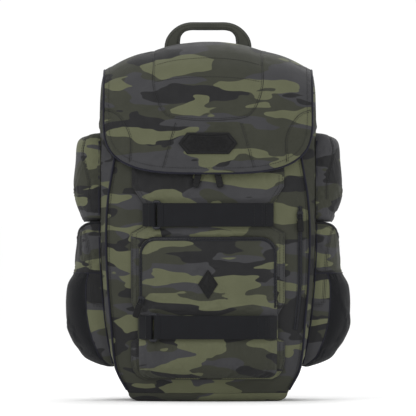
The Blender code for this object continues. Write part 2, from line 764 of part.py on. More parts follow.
def make_pull(name, pivot, lean, tip, length):
    """A pull hanging from its pivot: a window for the bail above a moulded grip.

    lean turns it sideways in the fabric's plane and tip swings it forward, in degrees.
    """
    end = length / MM
    outside = [(-3.2, 0.7), (3.2, 0.7), (4.5, -6), (4.6, -8), (4.6, 2 - end), (3.2, -end), (-3.2, -end),
               (-4.6, 2 - end), (-4.6, -8), (-4.5, -6)]
    window = [(-1.9, -0.7), (1.9, -0.7), (2.4, -5), (-2.4, -5)]
    outlines = [[(x * MM, z * MM) for x, z in outline] for outline in (outside, window)]
    pull = plate(name, outlines, 1.8 * MM, "rubber", pivot, 0.2 * MM)
    turned = Matrix.Rotation(math.radians(lean), 4, "Y") @ Matrix.Rotation(math.radians(-tip), 4, "X")
    pull.rotation_euler = (turned @ Matrix.Rotation(math.pi / 2, 4, "X")).to_euler()


MAIN_SLIDER_X, MAIN_SLIDER_Z = 11.5 * MM, 327.5 * MM
MAIN_LEAN, MAIN_TIP = 13, 9


def make_sliders():
    tape = 3 * GAP + 1.2 * MM
    for side, sign in sides():
        place = front(sign * MAIN_SLIDER_X, MAIN_SLIDER_Z, tape)
        pivot = make_slider(f"main_slider_{side}", place, upright=False)
        make_pull(f"main_pull_{side}", pivot, -sign * MAIN_LEAN, MAIN_TIP, 28 * MM)
    z = 143 * MM
    place = front(-ZIP_X, z, pocket_level(-ZIP_X + 4 * MM, z) + tape + GAP)
    make_pull("pocket_pull", make_slider("pocket_slider", place, upright=True), 18, 5, 26 * MM)
    z = 262 * MM
    place = front(SIDE_ZIP_X, z, tape + 1.5 * MM)
    make_pull("side_zip_pull", make_slider("side_zip_slider", place, upright=True), -3, 0, 24 * MM)


# ---------------------------------------------------------------- carrying
HANDLE_Y, HANDLE_Z = 88.5 * MM, 500.5 * MM


def make_handle():
    """Padded grab handle: an arch standing on the top yoke, folding back about its feet."""
    outer = [(61.5, -5.4), (60, 8), (53, 17.5)] + arc((35, 16.5), 19, 45, 90, 4)
    inner = [(40.2, -2), (40.2, 10)] + arc((28, 13.5), 12, 10, 90, 4)
    half = outer + [(-x, z) for x, z in reversed(outer)]
    inside = inner + [(-x, z) for x, z in reversed(inner)]
    points = [(x * MM, z * MM) for x, z in half + inside[::-1]]
    plate("grab_handle", [points], 7 * MM, "camo_dark", (0, HANDLE_Y, HANDLE_Z), 1.5 * MM)


PAD_ROUTE = [(46, 107.5, 463), (50, 122, 443), (62, 141, 395), (80, 150, 330), (98, 145, 260), (108, 128, 195),
             (112, 118, 166)]
PAD_WIDTHS = [(0, 56), (40, 64), (70, 60), (100, 40)]      # percent of the route, width
PAD_THICKNESS = 12 * MM


def ribbon(name, route, width, thickness, steps, slot):
    """A flat strap along a smooth route, kept level across. Below zero, its thickness lies inwards."""
    route = path([Vector(p) * MM for p in route])

    def shape(u, v, w):
        at = route(u)
        ahead = (route(min(u + 0.01, 1)) - route(max(u - 0.01, 0))).normalized()
        across = ahead.cross(Vector((0, 1, 0))).normalized()
        out = across.cross(ahead).normalized()
        share = 2 * v - 1
        wide = width(u) if callable(width) else width
        return at + across * share * wide / 2 + out * w * thickness

    return bent_box(name, shape, steps, 1, slot)


def make_shoulder_straps():
    pad_width = table(PAD_WIDTHS)
    for side, sign in sides():
        route = [(sign * x, y, z) for x, y, z in PAD_ROUTE]
        ribbon(f"shoulder_pad_{side}", route, lambda u: pad_width(u * 100 * MM), -PAD_THICKNESS, 14, "back_mesh")
        lock = Vector((sign * 112.6, 112.6, 151)) * MM
        outside = rounded_rectangle(34 * MM, 26 * MM, 3 * MM, 2)
        windows = [[(x * MM, z * MM + up) for x, z in ((-13, 2.2), (13, 2.2), (13, -2.2), (-13, -2.2))]
                   for up in (6.5 * MM, -6.5 * MM)]
        plate(f"ladder_lock_{side}", [outside, *windows], 3.6 * MM, "hardware", lock, 0.4 * MM)
        low = [(sign * x, y, z) for x, y, z in ((112.6, 108.8, 146), (115, 107.5, 110), (118.5, 103, 56))]
        ribbon(f"lower_webbing_{side}", low, 25 * MM, -WEBBING, 8, "webbing")
        tail = [(sign * x, y, z) for x, y, z in ((112.6, 116.6, 146), (112.2, 117.6, 120), (111.8, 118, 92))]
        loose = ribbon(f"strap_tail_{side}", tail, 25 * MM, -WEBBING, 6, "webbing")
        turn_about(f"strap_tail_pivot_{side}", Vector((sign * 112.6, 116.5, 146.3)) * MM, loose)
        tab = [(96 * MM, 28 * MM), (128 * MM, 34 * MM), (133 * MM, 52 * MM), (128 * MM, 62 * MM), (105 * MM, 62 * MM)]
        plate(f"anchor_tab_{side}", [[(sign * x, z) for x, z in tab]], 2.4 * MM, "webbing", (0, 99.4 * MM, 0))


STERNUM_X, STERNUM_Y, STERNUM_Z = 74 * MM, 152.4 * MM, 337.8 * MM


def make_sternum_straps():
    """The two unclipped halves of the chest strap, hanging from the shoulder pads."""
    straps = []
    for side, sign in sides():
        drop = [(sign * STERNUM_X / MM, STERNUM_Y / MM, z) for z in (338, 315, 285)]
        straps.append(ribbon(f"sternum_strap_{side}", drop, 20 * MM, -WEBBING, 4, "webbing"))
    y = STERNUM_Y + 4 * MM
    top = 284.4 * MM
    female = block("sternum_buckle_female", (27 * MM, 10 * MM, 30 * MM), "hardware", 1.5 * MM)
    female.location = (-STERNUM_X, y, top - 15 * MM)
    socket = block("socket", (20 * MM, 5.6 * MM, 22 * MM), "hardware", 0.4 * MM, (0, 0, -9 * MM))
    socket.location = female.location
    combine(female, socket, "DIFFERENCE")
    outline = [(-12, 0), (12, 0), (12, -11), (9.4, -12), (9.4, -21), (7.4, -26), (5.8, -25), (5.8, -12), (1.4, -12),
               (1.4, -28), (-1.4, -28), (-1.4, -12), (-5.8, -12), (-5.8, -25), (-7.4, -26), (-9.4, -21),
               (-9.4, -12), (-12, -11)]
    male = plate("sternum_buckle_male", [[(a * MM, b * MM) for a, b in outline]], 4 * MM, "hardware",
                 (STERNUM_X, y, top), 0.5 * MM)
    for (side, sign), strap, buckle in zip(sides(), straps, (female, male)):
        pivot = Vector((sign * STERNUM_X, STERNUM_Y - WEBBING / 2, STERNUM_Z))
        turn_about(f"sternum_pivot_{side}", pivot, strap, buckle)


# ---------------------------------------------------------------- assembly
COLLECTION = bpy.data.collections.new("tackle_backpack")
HELPERS = bpy.data.collections.new("cutters")
MATERIALS = {}


def make_materials():
    finishes = {
        "camo": ((0.055, 0.056, 0.040), 0.85), "camo_dark": ((0.045, 0.046, 0.036), 0.85),
        "back_mesh": ((0.012, 0.012, 0.014), 0.9),
        "plastic_sheet": ((0.02, 0.02, 0.02), 0.5), "lining": ((0.05, 0.05, 0.05), 0.8),
        "piping": ((0.010, 0.010, 0.013), 0.6), "zip_tape": ((0.008, 0.008, 0.010), 0.7),
        "rubber": ((0.005, 0.005, 0.006), 0.55), "webbing": ((0.011, 0.012, 0.015), 0.75),
        "hardware": ((0.010, 0.010, 0.013), 0.4), "stretch_mesh": ((0.011, 0.012, 0.015), 0.85),
    }
    for name, (colour, roughness) in finishes.items():
        MATERIALS[name] = material(name, colour, roughness)


def main():
    clear_scene()
    bpy.context.scene.collection.children.link(COLLECTION)
    bpy.context.scene.collection.children.link(HELPERS)
    make_materials()
    make_front_panel()
    make_side_gussets()
    make_base()
    make_back()
    make_yoke()
    make_piping()
    make_main_zip()
    turn_about("lid_pivot", LID_HINGE, *make_lid(), make_badge())
    make_organiser()
    make_front_pocket()
    make_front_zips()
    make_emblem()
    make_strap("upper_strap", 262 * MM, 90.7 * MM, -72 * MM, organiser_level)
    make_strap("lower_strap", 104.5 * MM, 96 * MM, -76.5 * MM, pocket_level)
    make_side_pockets()
    make_sliders()
    make_handle()
    make_shoulder_straps()
    make_sternum_straps()


main()
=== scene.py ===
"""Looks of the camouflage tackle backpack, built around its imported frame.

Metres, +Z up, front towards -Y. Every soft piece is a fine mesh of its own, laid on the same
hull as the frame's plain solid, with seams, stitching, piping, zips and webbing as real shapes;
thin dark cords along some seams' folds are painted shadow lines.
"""

import json
import math

import bmesh
import bpy
import numpy as np
from mathutils import Matrix, Vector, noise
from mathutils.bvhtree import BVHTree
from mathutils.kdtree import KDTree


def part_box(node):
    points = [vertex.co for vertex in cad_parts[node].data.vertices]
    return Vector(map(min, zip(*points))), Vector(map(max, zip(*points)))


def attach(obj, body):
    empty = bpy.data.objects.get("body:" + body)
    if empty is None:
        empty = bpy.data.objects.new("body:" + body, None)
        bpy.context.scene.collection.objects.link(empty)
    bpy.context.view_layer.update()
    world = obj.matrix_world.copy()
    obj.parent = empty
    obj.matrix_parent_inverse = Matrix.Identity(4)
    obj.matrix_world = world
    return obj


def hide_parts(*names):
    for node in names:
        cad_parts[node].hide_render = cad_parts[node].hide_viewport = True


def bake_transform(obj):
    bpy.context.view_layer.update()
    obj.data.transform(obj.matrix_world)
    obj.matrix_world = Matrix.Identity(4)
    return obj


MM = 0.001
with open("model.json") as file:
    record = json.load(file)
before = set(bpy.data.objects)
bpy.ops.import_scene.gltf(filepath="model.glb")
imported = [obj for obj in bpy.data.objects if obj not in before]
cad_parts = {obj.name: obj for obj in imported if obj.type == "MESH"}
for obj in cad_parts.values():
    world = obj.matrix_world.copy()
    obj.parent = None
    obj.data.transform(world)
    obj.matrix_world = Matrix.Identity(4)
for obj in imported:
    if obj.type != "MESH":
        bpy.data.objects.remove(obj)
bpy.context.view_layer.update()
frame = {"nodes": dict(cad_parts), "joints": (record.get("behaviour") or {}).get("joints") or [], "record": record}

# ---------------------------------------------------------------- the hull that the frame was built on
LID_HALF, CROWN = 145.5 * MM, 38 * MM
FLOOR_Z, REAR_Y = 12 * MM, 84.5 * MM
LID_EDGE_TOP, LID_EDGE_BOTTOM, LID_CORNER = 410 * MM, 321.3 * MM, 3.4
LID_LEVEL, LID_THICKNESS, LINING_LEVEL, LID_REAR = 14 * MM, 4 * MM, 8.6 * MM, 0.984
HINGE_HALF, HINGE_RUN_MM, HINGE_SLACK_MM = 118 * MM, 6.6, 5
OPENING_HALF, OPENING_BOTTOM = 130 * MM, 328.3 * MM
RIM_HALF, RIM_RISE = 134.5 * MM, 5 * MM
PANEL, GAP, WEBBING, PIPING = 3 * MM, 0.4 * MM, 1.5 * MM, 1.5 * MM
STRAP_WIDTH, RING_BAR, BAR_RADIUS = 32 * MM, 4.6 * MM, 1.4 * MM

PROFILE = [(-80, 12), (-92, 50), (-97, 120), (-98, 200), (-98, 300), (-96, 360),
           (-87, 410), (-66, 452), (-30, 480), (15, 491.5), (60, 492.5), (78, 490)]
EDGE = [(12, 112), (46, 129), (118, 137), (165, 141), (210, 143), (250, 143), (290, 140), (320, 135),
        (347, 131), (380, 132.5), (410, 134.5)]
SIDE = [(0, 106), (12, 113), (45, 130.5), (90, 141), (150, 148), (220, 152), (420, 152), (455, 150),
        (495, 144)]
ORGANISER = [(31.5, 90), (36, 99), (44, 105), (56, 107.6), (84, 107.6), (88, 98), (121.5, 98), (139, 107.6),
             (236, 107.6), (245, 91.5), (279, 91.5), (302, 106.5), (345, 106.5)]
UPPER_POCKET = [(252.5, 175.6), (266, 179), (284, 185), (301, 189), (315, 189), (339, 186.5), (362, 184.5),
                (370, 179), (375, 166), (377.5, 155)]
BOTTLE_POCKET = [(49, 141), (57.4, 163), (63, 173), (74, 181), (85, 189), (109, 199), (132, 201.5),
                 (155, 200.5), (167, 197.7), (183, 188.6), (202, 185.8), (227, 183.7), (249, 182)]


def smooth_line(points, steps=12):
    """Points of a smooth (Catmull-Rom) curve through the given ones, this many to each stretch."""
    given = np.array(points, float)
    ends = np.vstack([2 * given[0] - given[1], given, 2 * given[-1] - given[-2]])
    t = np.linspace(0, 1, steps, endpoint=False)[:, None]
    line = []
    for p0, p1, p2, p3 in zip(ends, ends[1:], ends[2:], ends[3:]):
        a, b = (p2 - p0) / 2, (p3 - p1) / 2
        line.append(p1 * (2 * t**3 - 3 * t**2 + 1) + a * (t**3 - 2 * t**2 + t)
                    + p2 * (3 * t**2 - 2 * t**3) + b * (t**3 - t**2))
    return np.vstack([*line, given[-1:]])


def line_lengths(line):
    """How far along a line of points each point lies."""
    return np.concatenate([[0], np.cumsum(np.linalg.norm(np.diff(line, axis=0), axis=1))])


def along_line(place, lengths, line):
    """The line's values at this length along it, or at several."""
    return np.stack([np.interp(place, lengths, line[:, k]) for k in range(line.shape[1])], -1)


def resample(line, pitch):
    """Points along a line at this spacing."""
    line = np.array(line, float)
    along = line_lengths(line)
    places = np.linspace(0, along[-1], max(int(round(along[-1] / pitch)), 1) + 1)
    return along_line(places, along, line)


def table(rows, smooth=True):
    """A function of height from rows of (z, value) in millimetres; takes and gives metres."""
    z, value = np.array(rows, float).T * MM
    if not smooth:
        return lambda at: np.interp(at, z, value)
    before, after = np.r_[0, np.arange(len(z) - 1)], np.r_[np.arange(1, len(z)), len(z) - 1]
    slope = (value[after] - value[before]) / (z[after] - z[before])
    fine = np.linspace(z[0], z[-1], 1500)
    i = np.clip(np.searchsorted(z, fine, side="right") - 1, 0, len(z) - 2)
    run = z[i + 1] - z[i]
    t = (fine - z[i]) / run
    curve = (value[i] * (2 * t**3 - 3 * t**2 + 1) + slope[i] * run * (t**3 - 2 * t**2 + t)
             + value[i + 1] * (3 * t**2 - 2 * t**3) + slope[i + 1] * run * (t**3 - t**2))
    return lambda at: np.interp(at, fine, curve)


STRETCH_STEPS = 300
SPINE = smooth_line(PROFILE, STRETCH_STEPS) * MM
chord_ends = line_lengths(np.array(PROFILE, float))
stretches = np.arange(len(SPINE)) / STRETCH_STEPS
SPINE_SHARE = np.interp(stretches, np.arange(len(PROFILE)), chord_ends / chord_ends[-1])
RISING = SPINE_SHARE <= 0.8

edge_half = table(EDGE)
side_half = table(SIDE)
organiser_half = table(ORGANISER, smooth=False)
upper_pocket_half = table(UPPER_POCKET)
bottle_pocket_half = table(BOTTLE_POCKET)


def profile(share):
    """(y, z) of the hull's centre line at this share of its length."""
    return np.stack([np.interp(share, SPINE_SHARE, SPINE[:, k]) for k in (0, 1)], -1)


def share_at(z):
    return np.interp(z, SPINE[RISING, 1], SPINE_SHARE[RISING])


def crown(x):
    return CROWN * (x / LID_HALF)**2


def profile_normal(share):
    along = profile(np.minimum(share + 0.01, 1)) - profile(np.maximum(share - 0.01, 0))
    out = np.stack([-along[..., 1], along[..., 0]], -1)
    return out / np.linalg.norm(out, axis=-1, keepdims=True)


def hull(share, x, level):
    """Points of the pack's hull: share along the profile, x across, level outwards."""
    share, x, level = np.broadcast_arrays(share, x, level)
    place = profile(share) + profile_normal(share) * (level - crown(x))[..., None]
    return np.stack([x, place[..., 0], place[..., 1]], -1)


def front(x, z, level):
    """Points of the front below the lid, where level runs straight forward."""
    x, z, level = np.broadcast_arrays(x, z, level)
    return np.stack([x, profile(share_at(z))[..., 0] + crown(x) - level, z], -1)


def lid_edge_z(x, half=LID_HALF, bottom=LID_EDGE_BOTTOM):
    share = np.minimum(np.abs(x) / half, 1)
    return LID_EDGE_TOP - (LID_EDGE_TOP - bottom) * (1 - share**LID_CORNER)**(1 / LID_CORNER)


def swell(distance, reach):
    """0 at an edge, rising to 1 at this reach inside it."""
    return np.sin(np.pi / 2 * np.clip(distance / reach, 0, 1))


def ramp(value, start, end):
    t = np.clip((value - start) / (end - start), 0, 1)
    return t * t * (3 - 2 * t)


def rim_rise(z):
    """How far the opening's rim stands above the hull: none of it in front, all of it at the top."""
    return RIM_RISE * ramp(z, 360 * MM, 440 * MM)


def organiser_level(x, z):
    side = swell(organiser_half(z) - np.abs(x), 20 * MM)
    return 3 * MM + 7 * MM * side * swell(lid_edge_z(x) - z, 60 * MM) * swell(z - 31 * MM, 25 * MM)


POCKET_HALF, POCKET_BOTTOM, POCKET_TOP = 96.8 * MM, 33.5 * MM, 231 * MM
POCKET_TOP_RADIUS, POCKET_BOTTOM_RADIUS = 24 * MM, 12 * MM


def rounded_half(z, half, bottom, top, bottom_radius, top_radius):
    """Half width at height z of a rectangle with rounded corners."""
    width = np.full_like(np.asarray(z, float), half)
    for radius, into in ((bottom_radius, z - bottom), (top_radius, top - z)):
        rise = np.clip(radius - into, 0, radius)
        width = width - radius + np.sqrt(radius**2 - rise**2)
    return width


def pocket_half(z):
    return rounded_half(z, POCKET_HALF, POCKET_BOTTOM, POCKET_TOP, POCKET_BOTTOM_RADIUS, POCKET_TOP_RADIUS)


def pocket_level(x, z):
    inside = np.minimum(np.minimum(pocket_half(z) - np.abs(x), POCKET_TOP - z), z - POCKET_BOTTOM)
    return organiser_level(x, z) + 3.5 * GAP + MM + 7.5 * MM * swell(inside, 24 * MM)


# ---------------------------------------------------------------- materials
def srgb(*colour):
    """Linear colour from display values of 0 to 255."""
    return tuple(c / 255 / 12.92 if c < 11 else ((c / 255 + 0.055) / 1.055)**2.4 for c in colour)


def shaded(colour, amount):
    return tuple(c * amount for c in colour)


class Shader:
    """A node material; its methods add a node and return that node's output socket."""

    def __init__(self, name, roughness, **constants):
        self.material = bpy.data.materials.new(name)
        self.material.use_nodes = True
        self.tree = self.material.node_tree
        self.bsdf = self.tree.nodes["Principled BSDF"]
        self.bsdf.inputs["Roughness"].default_value = roughness
        for key, value in constants.items():
            self.bsdf.inputs[key.replace("_", " ")].default_value = value

    def node(self, kind, output=0, inputs=None, **settings):
        made = self.tree.nodes.new(kind)
        for key, value in settings.items():
            setattr(made, key, value)
        for key, value in (inputs or {}).items():
            if isinstance(value, bpy.types.NodeSocket):
                self.tree.links.new(value, made.inputs[key])
            else:
                made.inputs[key].default_value = value
        return made.outputs[output]

    def attribute(self, name):
        return self.node("ShaderNodeAttribute", "Vector", attribute_name=name)

    def math(self, operation, *values, clamp=False):
        return self.node("ShaderNodeMath", 0, dict(enumerate(values)), operation=operation, use_clamp=clamp)

    def scaled(self, vector, scale, shift=(0, 0, 0)):
        return self.node("ShaderNodeMapping", 0, {"Vector": vector, "Scale": scale, "Location": shift})

    def noise(self, vector, scale, detail=2.0, roughness=0.5, output=0):
        return self.node("ShaderNodeTexNoise", output,
                         {"Vector": vector, "Scale": scale, "Detail": detail, "Roughness": roughness})

    def steps(self, value, *stops):
        """A colour ramp from (place, grey or colour) stops."""
        socket = self.node("ShaderNodeValToRGB", 0, {0: value})
        elements = socket.node.color_ramp.elements
        while len(elements) < len(stops):
            elements.new(1)
        for element, (place, colour) in zip(elements, stops):
            element.position = place
            element.color = (*colour, 1) if isinstance(colour, tuple) else (colour, colour, colour, 1)
        return socket

    def mix(self, share, a, b, blend="MIX"):
        return self.node("ShaderNodeMix", 2, {0: share, 6: a, 7: b}, data_type="RGBA", blend_type=blend)

    def times(self, colour, shade):
        return self.mix(1.0, colour, shade, "MULTIPLY")

    def bump(self, height, distance, strength=1.0, over=None):
        inputs = {"Height": height, "Distance": distance, "Strength": strength}
        if over is not None:
            inputs["Normal"] = over
        return self.node("ShaderNodeBump", 0, inputs)

    def finish(self, colour=None, roughness=None, normal=None):
        for key, socket in (("Base Color", colour), ("Roughness", roughness), ("Normal", normal)):
            if isinstance(socket, bpy.types.NodeSocket):
                self.tree.links.new(socket, self.bsdf.inputs[key])
            elif socket is not None:
                self.bsdf.inputs[key].default_value = (*socket, 1)
        return self.material


def plain_weave(s, pitch):
    """Height of a plain weave on the cloth's own coordinates, threads this far apart."""
    u, v, _ = separate(s, s.scaled(s.attribute("cloth"), (math.pi / pitch,) * 3))
    across = s.math("SINE", u)
    along = s.math("SINE", v)
    return s.math("MULTIPLY_ADD", s.math("MULTIPLY", across, along), 0.5, 0.5)


def separate(s, vector):
    split = s.node("ShaderNodeSeparateXYZ", 0, {0: vector}).node
    return split.outputs


LIGHT_OLIVE, DARK_OLIVE = srgb(87, 89, 68), srgb(52, 53, 45)
CHARCOAL, NEAR_BLACK = srgb(57, 57, 59), srgb(33, 33, 34)
BLOT_EDGE = 0.0025


def camo_material(name):
    """Printed polyester canvas: four flat colours in long lobed blots, on a fine weave with painted shade in its
    low points and a painted highlight on its high points.
    """
    s = Shader(name, 0.85, Sheen_Weight=0.05, Sheen_Roughness=0.5, Specular_IOR_Level=0.18)
    place = s.attribute("pattern")
    long = s.scaled(place, (13, 13, 39))
    wander = s.noise(long, 0.9, 2, output="Color")
    shift = s.node("ShaderNodeVectorMath", 0, {0: wander, 1: (0.5, 0.5, 0.5)}, operation="SUBTRACT")
    places = {0: shift, 1: (1.1, 1.1, 1.1), 2: long}
    bent = s.node("ShaderNodeVectorMath", 0, places, operation="MULTIPLY_ADD")

    def blots(offset, scale, low):
        value = s.noise(s.scaled(bent, (1, 1, 1), offset), scale, 1.2, 0.42)
        return s.steps(value, (low, 0.0), (low + BLOT_EDGE, 1.0))

    colour = s.mix(blots((3.1, 7.7, 1.3), 0.72, 0.525), (*DARK_OLIVE, 1), (*CHARCOAL, 1))
    colour = s.mix(blots((11.2, 2.6, 5.9), 0.85, 0.56), colour, (*NEAR_BLACK, 1))
    colour = s.mix(blots((6.4, 9.3, 14.8), 0.9, 0.56), colour, (*LIGHT_OLIVE, 1))
    weave = plain_weave(s, 0.55 * MM)
    # The weave is painted darker in its low points and lighter on its high points: painted shade and painted
    # highlight, over the bump of the same weave.
    thread = s.steps(weave, (0.0, 0.86), (1.0, 1.06))
    colour = s.times(colour, thread)
    fade = s.steps(s.noise(place, 28, 4), (0.3, 0.93), (0.7, 1.05))
    colour = s.times(colour, fade)
    rough = s.steps(s.noise(place, 60, 3), (0.3, 0.74), (0.7, 0.88))
    fibre = s.bump(s.noise(place, 900, 2), 0.1 * MM, 0.35)
    return s.finish(colour, rough, s.bump(weave, 0.12 * MM, 0.5, fibre))


def webbing_material(name, colour):
    """Woven strap: ribs along it, and a slanting weave across them, with painted shade in the grooves and a
    painted highlight on the rib tops.
    """
    rib, pick = 1.1 * MM, 1.5 * MM
    s = Shader(name, 0.7, Sheen_Weight=0.06, Sheen_Roughness=0.4, Specular_IOR_Level=0.2)
    u, v, _ = separate(s, s.attribute("cloth"))
    ribs = s.math("SINE", s.math("MULTIPLY", v, 2 * math.pi / rib))
    slant = s.math("ADD", s.math("MULTIPLY", u, 2 * math.pi / pick), s.math("MULTIPLY", ribs, 0.9))
    picks = s.math("SINE", slant)
    height = s.math("MULTIPLY_ADD", s.math("ADD", s.math("MULTIPLY", ribs, 0.6), picks), 0.3, 0.5)
    # Ribs painted darker in their grooves and lighter on their tops: painted shade and painted highlight.
    shade = s.steps(height, (0.1, shaded(colour, 0.6)), (0.9, shaded(colour, 1.35)))
    worn = s.steps(s.noise(s.attribute("pattern"), 45, 3), (0.35, 0.9), (0.7, 1.15))
    shade = s.times(shade, worn)
    return s.finish(shade, None, s.bump(height, 0.25 * MM, 0.7))


def mesh_material(name, colour, hole, depth):
    """Knitted mesh: round holes in staggered rows, set into the cloth, and painted dark inside as painted shade.
    """
    s = Shader(name, 0.85, Sheen_Weight=0.06, Sheen_Roughness=0.5, Specular_IOR_Level=0.18)
    u, v, _ = separate(s, s.scaled(s.attribute("cloth"), (1 / hole, 1 / (hole * 0.866), 1)))
    row = s.math("MULTIPLY", s.math("FLOORED_MODULO", s.math("FLOOR", v), 2.0), 0.5)
    x = s.math("SUBTRACT", s.math("FRACT", s.math("ADD", u, row)), 0.5)
    y = s.math("SUBTRACT", s.math("FRACT", v), 0.5)
    away = s.math("SQRT", s.math("ADD", s.math("MULTIPLY", x, x), s.math("MULTIPLY", y, y)))
    height = s.steps(away, (0.2, 0.0), (0.42, 1.0))
    yarn = s.noise(s.attribute("cloth"), 1800, 2)
    # Holes painted near black: painted shade for the dark inside seen through them.
    shade = s.steps(away, (0.18, shaded(colour, 0.25)), (0.36, colour))
    shade = s.times(shade, s.steps(yarn, (0.3, 0.8), (0.7, 1.2)))
    return s.finish(shade, None, s.bump(height, depth, 0.9, s.bump(yarn, 0.1 * MM, 0.4)))


def cloth_material(name, colour, pitch, grid=None):
    """Plain woven cloth or tape, its weave painted darker low and lighter high as painted shade and highlight;
    with a grid, ripstop.
    """
    s = Shader(name, 0.75, Sheen_Weight=0.05, Sheen_Roughness=0.5, Specular_IOR_Level=0.2)
    weave = plain_weave(s, pitch)
    # The weave painted darker in its low points and lighter on its high points: painted shade and painted
    # highlight.
    shade = s.steps(weave, (0.0, shaded(colour, 0.75)), (1.0, shaded(colour, 1.15)))
    if grid:
        u, v, _ = separate(s, s.scaled(s.attribute("cloth"), (1 / grid,) * 3))
        near = [s.math("ABSOLUTE", s.math("SUBTRACT", s.math("FRACT", a), 0.5)) for a in (u, v)]
        cord = s.steps(s.math("MINIMUM", *near), (0.0, 1.35), (0.07, 1.0))
        shade = s.times(shade, cord)
    patchy = s.steps(s.noise(s.attribute("pattern"), 35, 3), (0.3, 0.88), (0.7, 1.12))
    shade = s.times(shade, patchy)
    return s.finish(shade, None, s.bump(weave, 0.1 * MM, 0.6))


def moulded_material(name, colour, roughness, grain, scuffs=1.25):
    """Moulded plastic or rubber with a fine grain, paler where it is scuffed."""
    s = Shader(name, roughness, Specular_IOR_Level=0.28)
    place = s.node("ShaderNodeTexCoord", "Object")
    patches = s.noise(place, 160, 4)
    shade = s.steps(patches, (0.35, shaded(colour, 0.85)), (0.75, shaded(colour, scuffs)))
    rough = s.steps(s.noise(place, 320, 3), (0.3, roughness - 0.06), (0.7, roughness + 0.1))
    return s.finish(shade, rough, s.bump(s.noise(place, 2600, 2), grain, 0.5))


BLACK, INK = srgb(13, 14, 18), srgb(22, 22, 34)
FINISHES = {
    "camo": camo_material("camo_canvas"),
    "camo_dark": cloth_material("dark_canvas", srgb(66, 67, 60), 0.55 * MM),
    "spacer_mesh": mesh_material("spacer_mesh", srgb(36, 37, 40), 3.2 * MM, 0.8 * MM),
    "plastic_sheet": moulded_material("plastic_sheet", srgb(40, 41, 42), 0.42, 0.1 * MM),
    "lining": cloth_material("ripstop_lining", srgb(92, 94, 90), 0.4 * MM, 5 * MM),
    "piping": cloth_material("piping_cloth", INK, 0.45 * MM),
    "zip_tape": cloth_material("zip_tape", srgb(34, 35, 40), 0.4 * MM),
    "rubber": moulded_material("soft_rubber", srgb(7, 7, 8), 0.68, 0.12 * MM),
    "webbing": webbing_material("strap_webbing", BLACK),
    "hardware": moulded_material("acetal", srgb(27, 28, 33), 0.4, 0.06 * MM),
    "stretch_mesh": mesh_material("stretch_mesh", srgb(14, 15, 19), 1.7 * MM, 0.5 * MM),
    "thread": moulded_material("sewing_thread", srgb(30, 30, 30), 0.6, 0.1 * MM),
    "coil": moulded_material("zip_coil", srgb(24, 24, 27), 0.35, 0.03 * MM),
}


# ---------------------------------------------------------------- mesh builders
def make_mesh(name, points, faces, finish, cloth, shift, smooth):
    """A mesh object with its finish. cloth holds each point's place on the flat cloth, and shift
    moves the camouflage, so that neighbouring panels don't match at their seam."""
    data = bpy.data.meshes.new(name)
    data.from_pydata(points.tolist(), [], [list(map(int, f)) for f in faces])
    flat = np.column_stack([cloth, np.zeros(len(points))])
    for attribute, places in (("cloth", flat), ("pattern", points + np.array(shift))):
        layer = data.attributes.new(attribute, "FLOAT_VECTOR", "POINT")
        layer.data.foreach_set("vector", places.astype(np.float32).ravel())
    if smooth:
        data.shade_smooth()
        data.set_sharp_from_angle(angle=math.radians(50))
    data.materials.append(FINISHES[finish])
    made = bpy.data.objects.new(name, data)
    bpy.context.scene.collection.objects.link(made)
    return made


def join_parts(parts):
    """One (points, faces, cloth) from several."""
    points, faces, cloth, count = [], [], [], 0
    for part in parts:
        points.append(part[0])
        cloth.append(part[2])
        faces.extend([[k + count for k in face] for face in part[1]])
        count += len(part[0])
    return np.vstack(points), faces, np.vstack(cloth)


def grid_faces(columns, rows):
    i, j = np.meshgrid(np.arange(columns - 1), np.arange(rows - 1), indexing="ij")
    a, b = i * rows + j, (i + 1) * rows + j
    return np.stack([a, b, b + 1, a + 1], -1).reshape(-1, 4)


def unit(vectors):
    return vectors / np.maximum(np.linalg.norm(vectors, axis=-1, keepdims=True), 1e-12)


def grid_normals(grid):
    return unit(np.cross(np.gradient(grid, axis=0), np.gradient(grid, axis=1)))


def cloth_places(grid):
    """Each grid point's place on the flat cloth, in metres."""
    across = np.linalg.norm(np.diff(grid, axis=0), axis=2)
    along = np.linalg.norm(np.diff(grid, axis=1), axis=2)
    u = np.vstack([np.zeros(grid.shape[1]), np.cumsum(across, axis=0)])
    v = np.hstack([np.zeros((grid.shape[0], 1)), np.cumsum(along, axis=1)])
    return np.stack([u - u[grid.shape[0] // 2], v], -1).reshape(-1, 2)


def unit_grid(columns, rows, low=0.0):
    """Two grids of numbers: the first runs from low to 1 over the columns, the second from 0 to 1."""
    return np.meshgrid(np.linspace(low, 1, columns), np.linspace(0, 1, rows), indexing="ij")


def facing(grid, normal):
    """The grid and its normals, turned round where the grid faces against them."""
    agree = np.einsum("ijk,ijk->ij", grid_normals(grid), normal).mean() > 0
    return (grid, normal) if agree else (grid[:, ::-1], normal[:, ::-1])


def edge_loop(columns, rows):
    bottom = [(i, 0) for i in range(columns)]
    right = [(columns - 1, j) for j in range(1, rows)]
    top = [(i, rows - 1) for i in reversed(range(columns - 1))]
    return bottom + right + top + [(0, j) for j in reversed(range(1, rows - 1))]


def rimmed(outer, inner, at, middle):
    """A closed sheet from its outer and inner faces, joined round their edge points over a middle line."""
    columns, rows = outer.shape[:2]
    count = columns * rows
    faces = grid_faces(columns, rows)
    index = at[:, 0] * rows + at[:, 1]
    following = np.roll(index, -1)
    ring = np.arange(len(at)) + 2 * count
    ring_next = np.roll(ring, -1)
    rim = np.vstack([np.stack([following, index, ring, ring_next], -1),
                     np.stack([ring_next, ring, index + count, following + count], -1)])
    flat = cloth_places(outer)
    points = np.vstack([outer.reshape(-1, 3), inner.reshape(-1, 3), middle])
    return points, np.vstack([faces, faces[:, ::-1] + count, rim]), np.vstack([flat, flat, flat[index]])


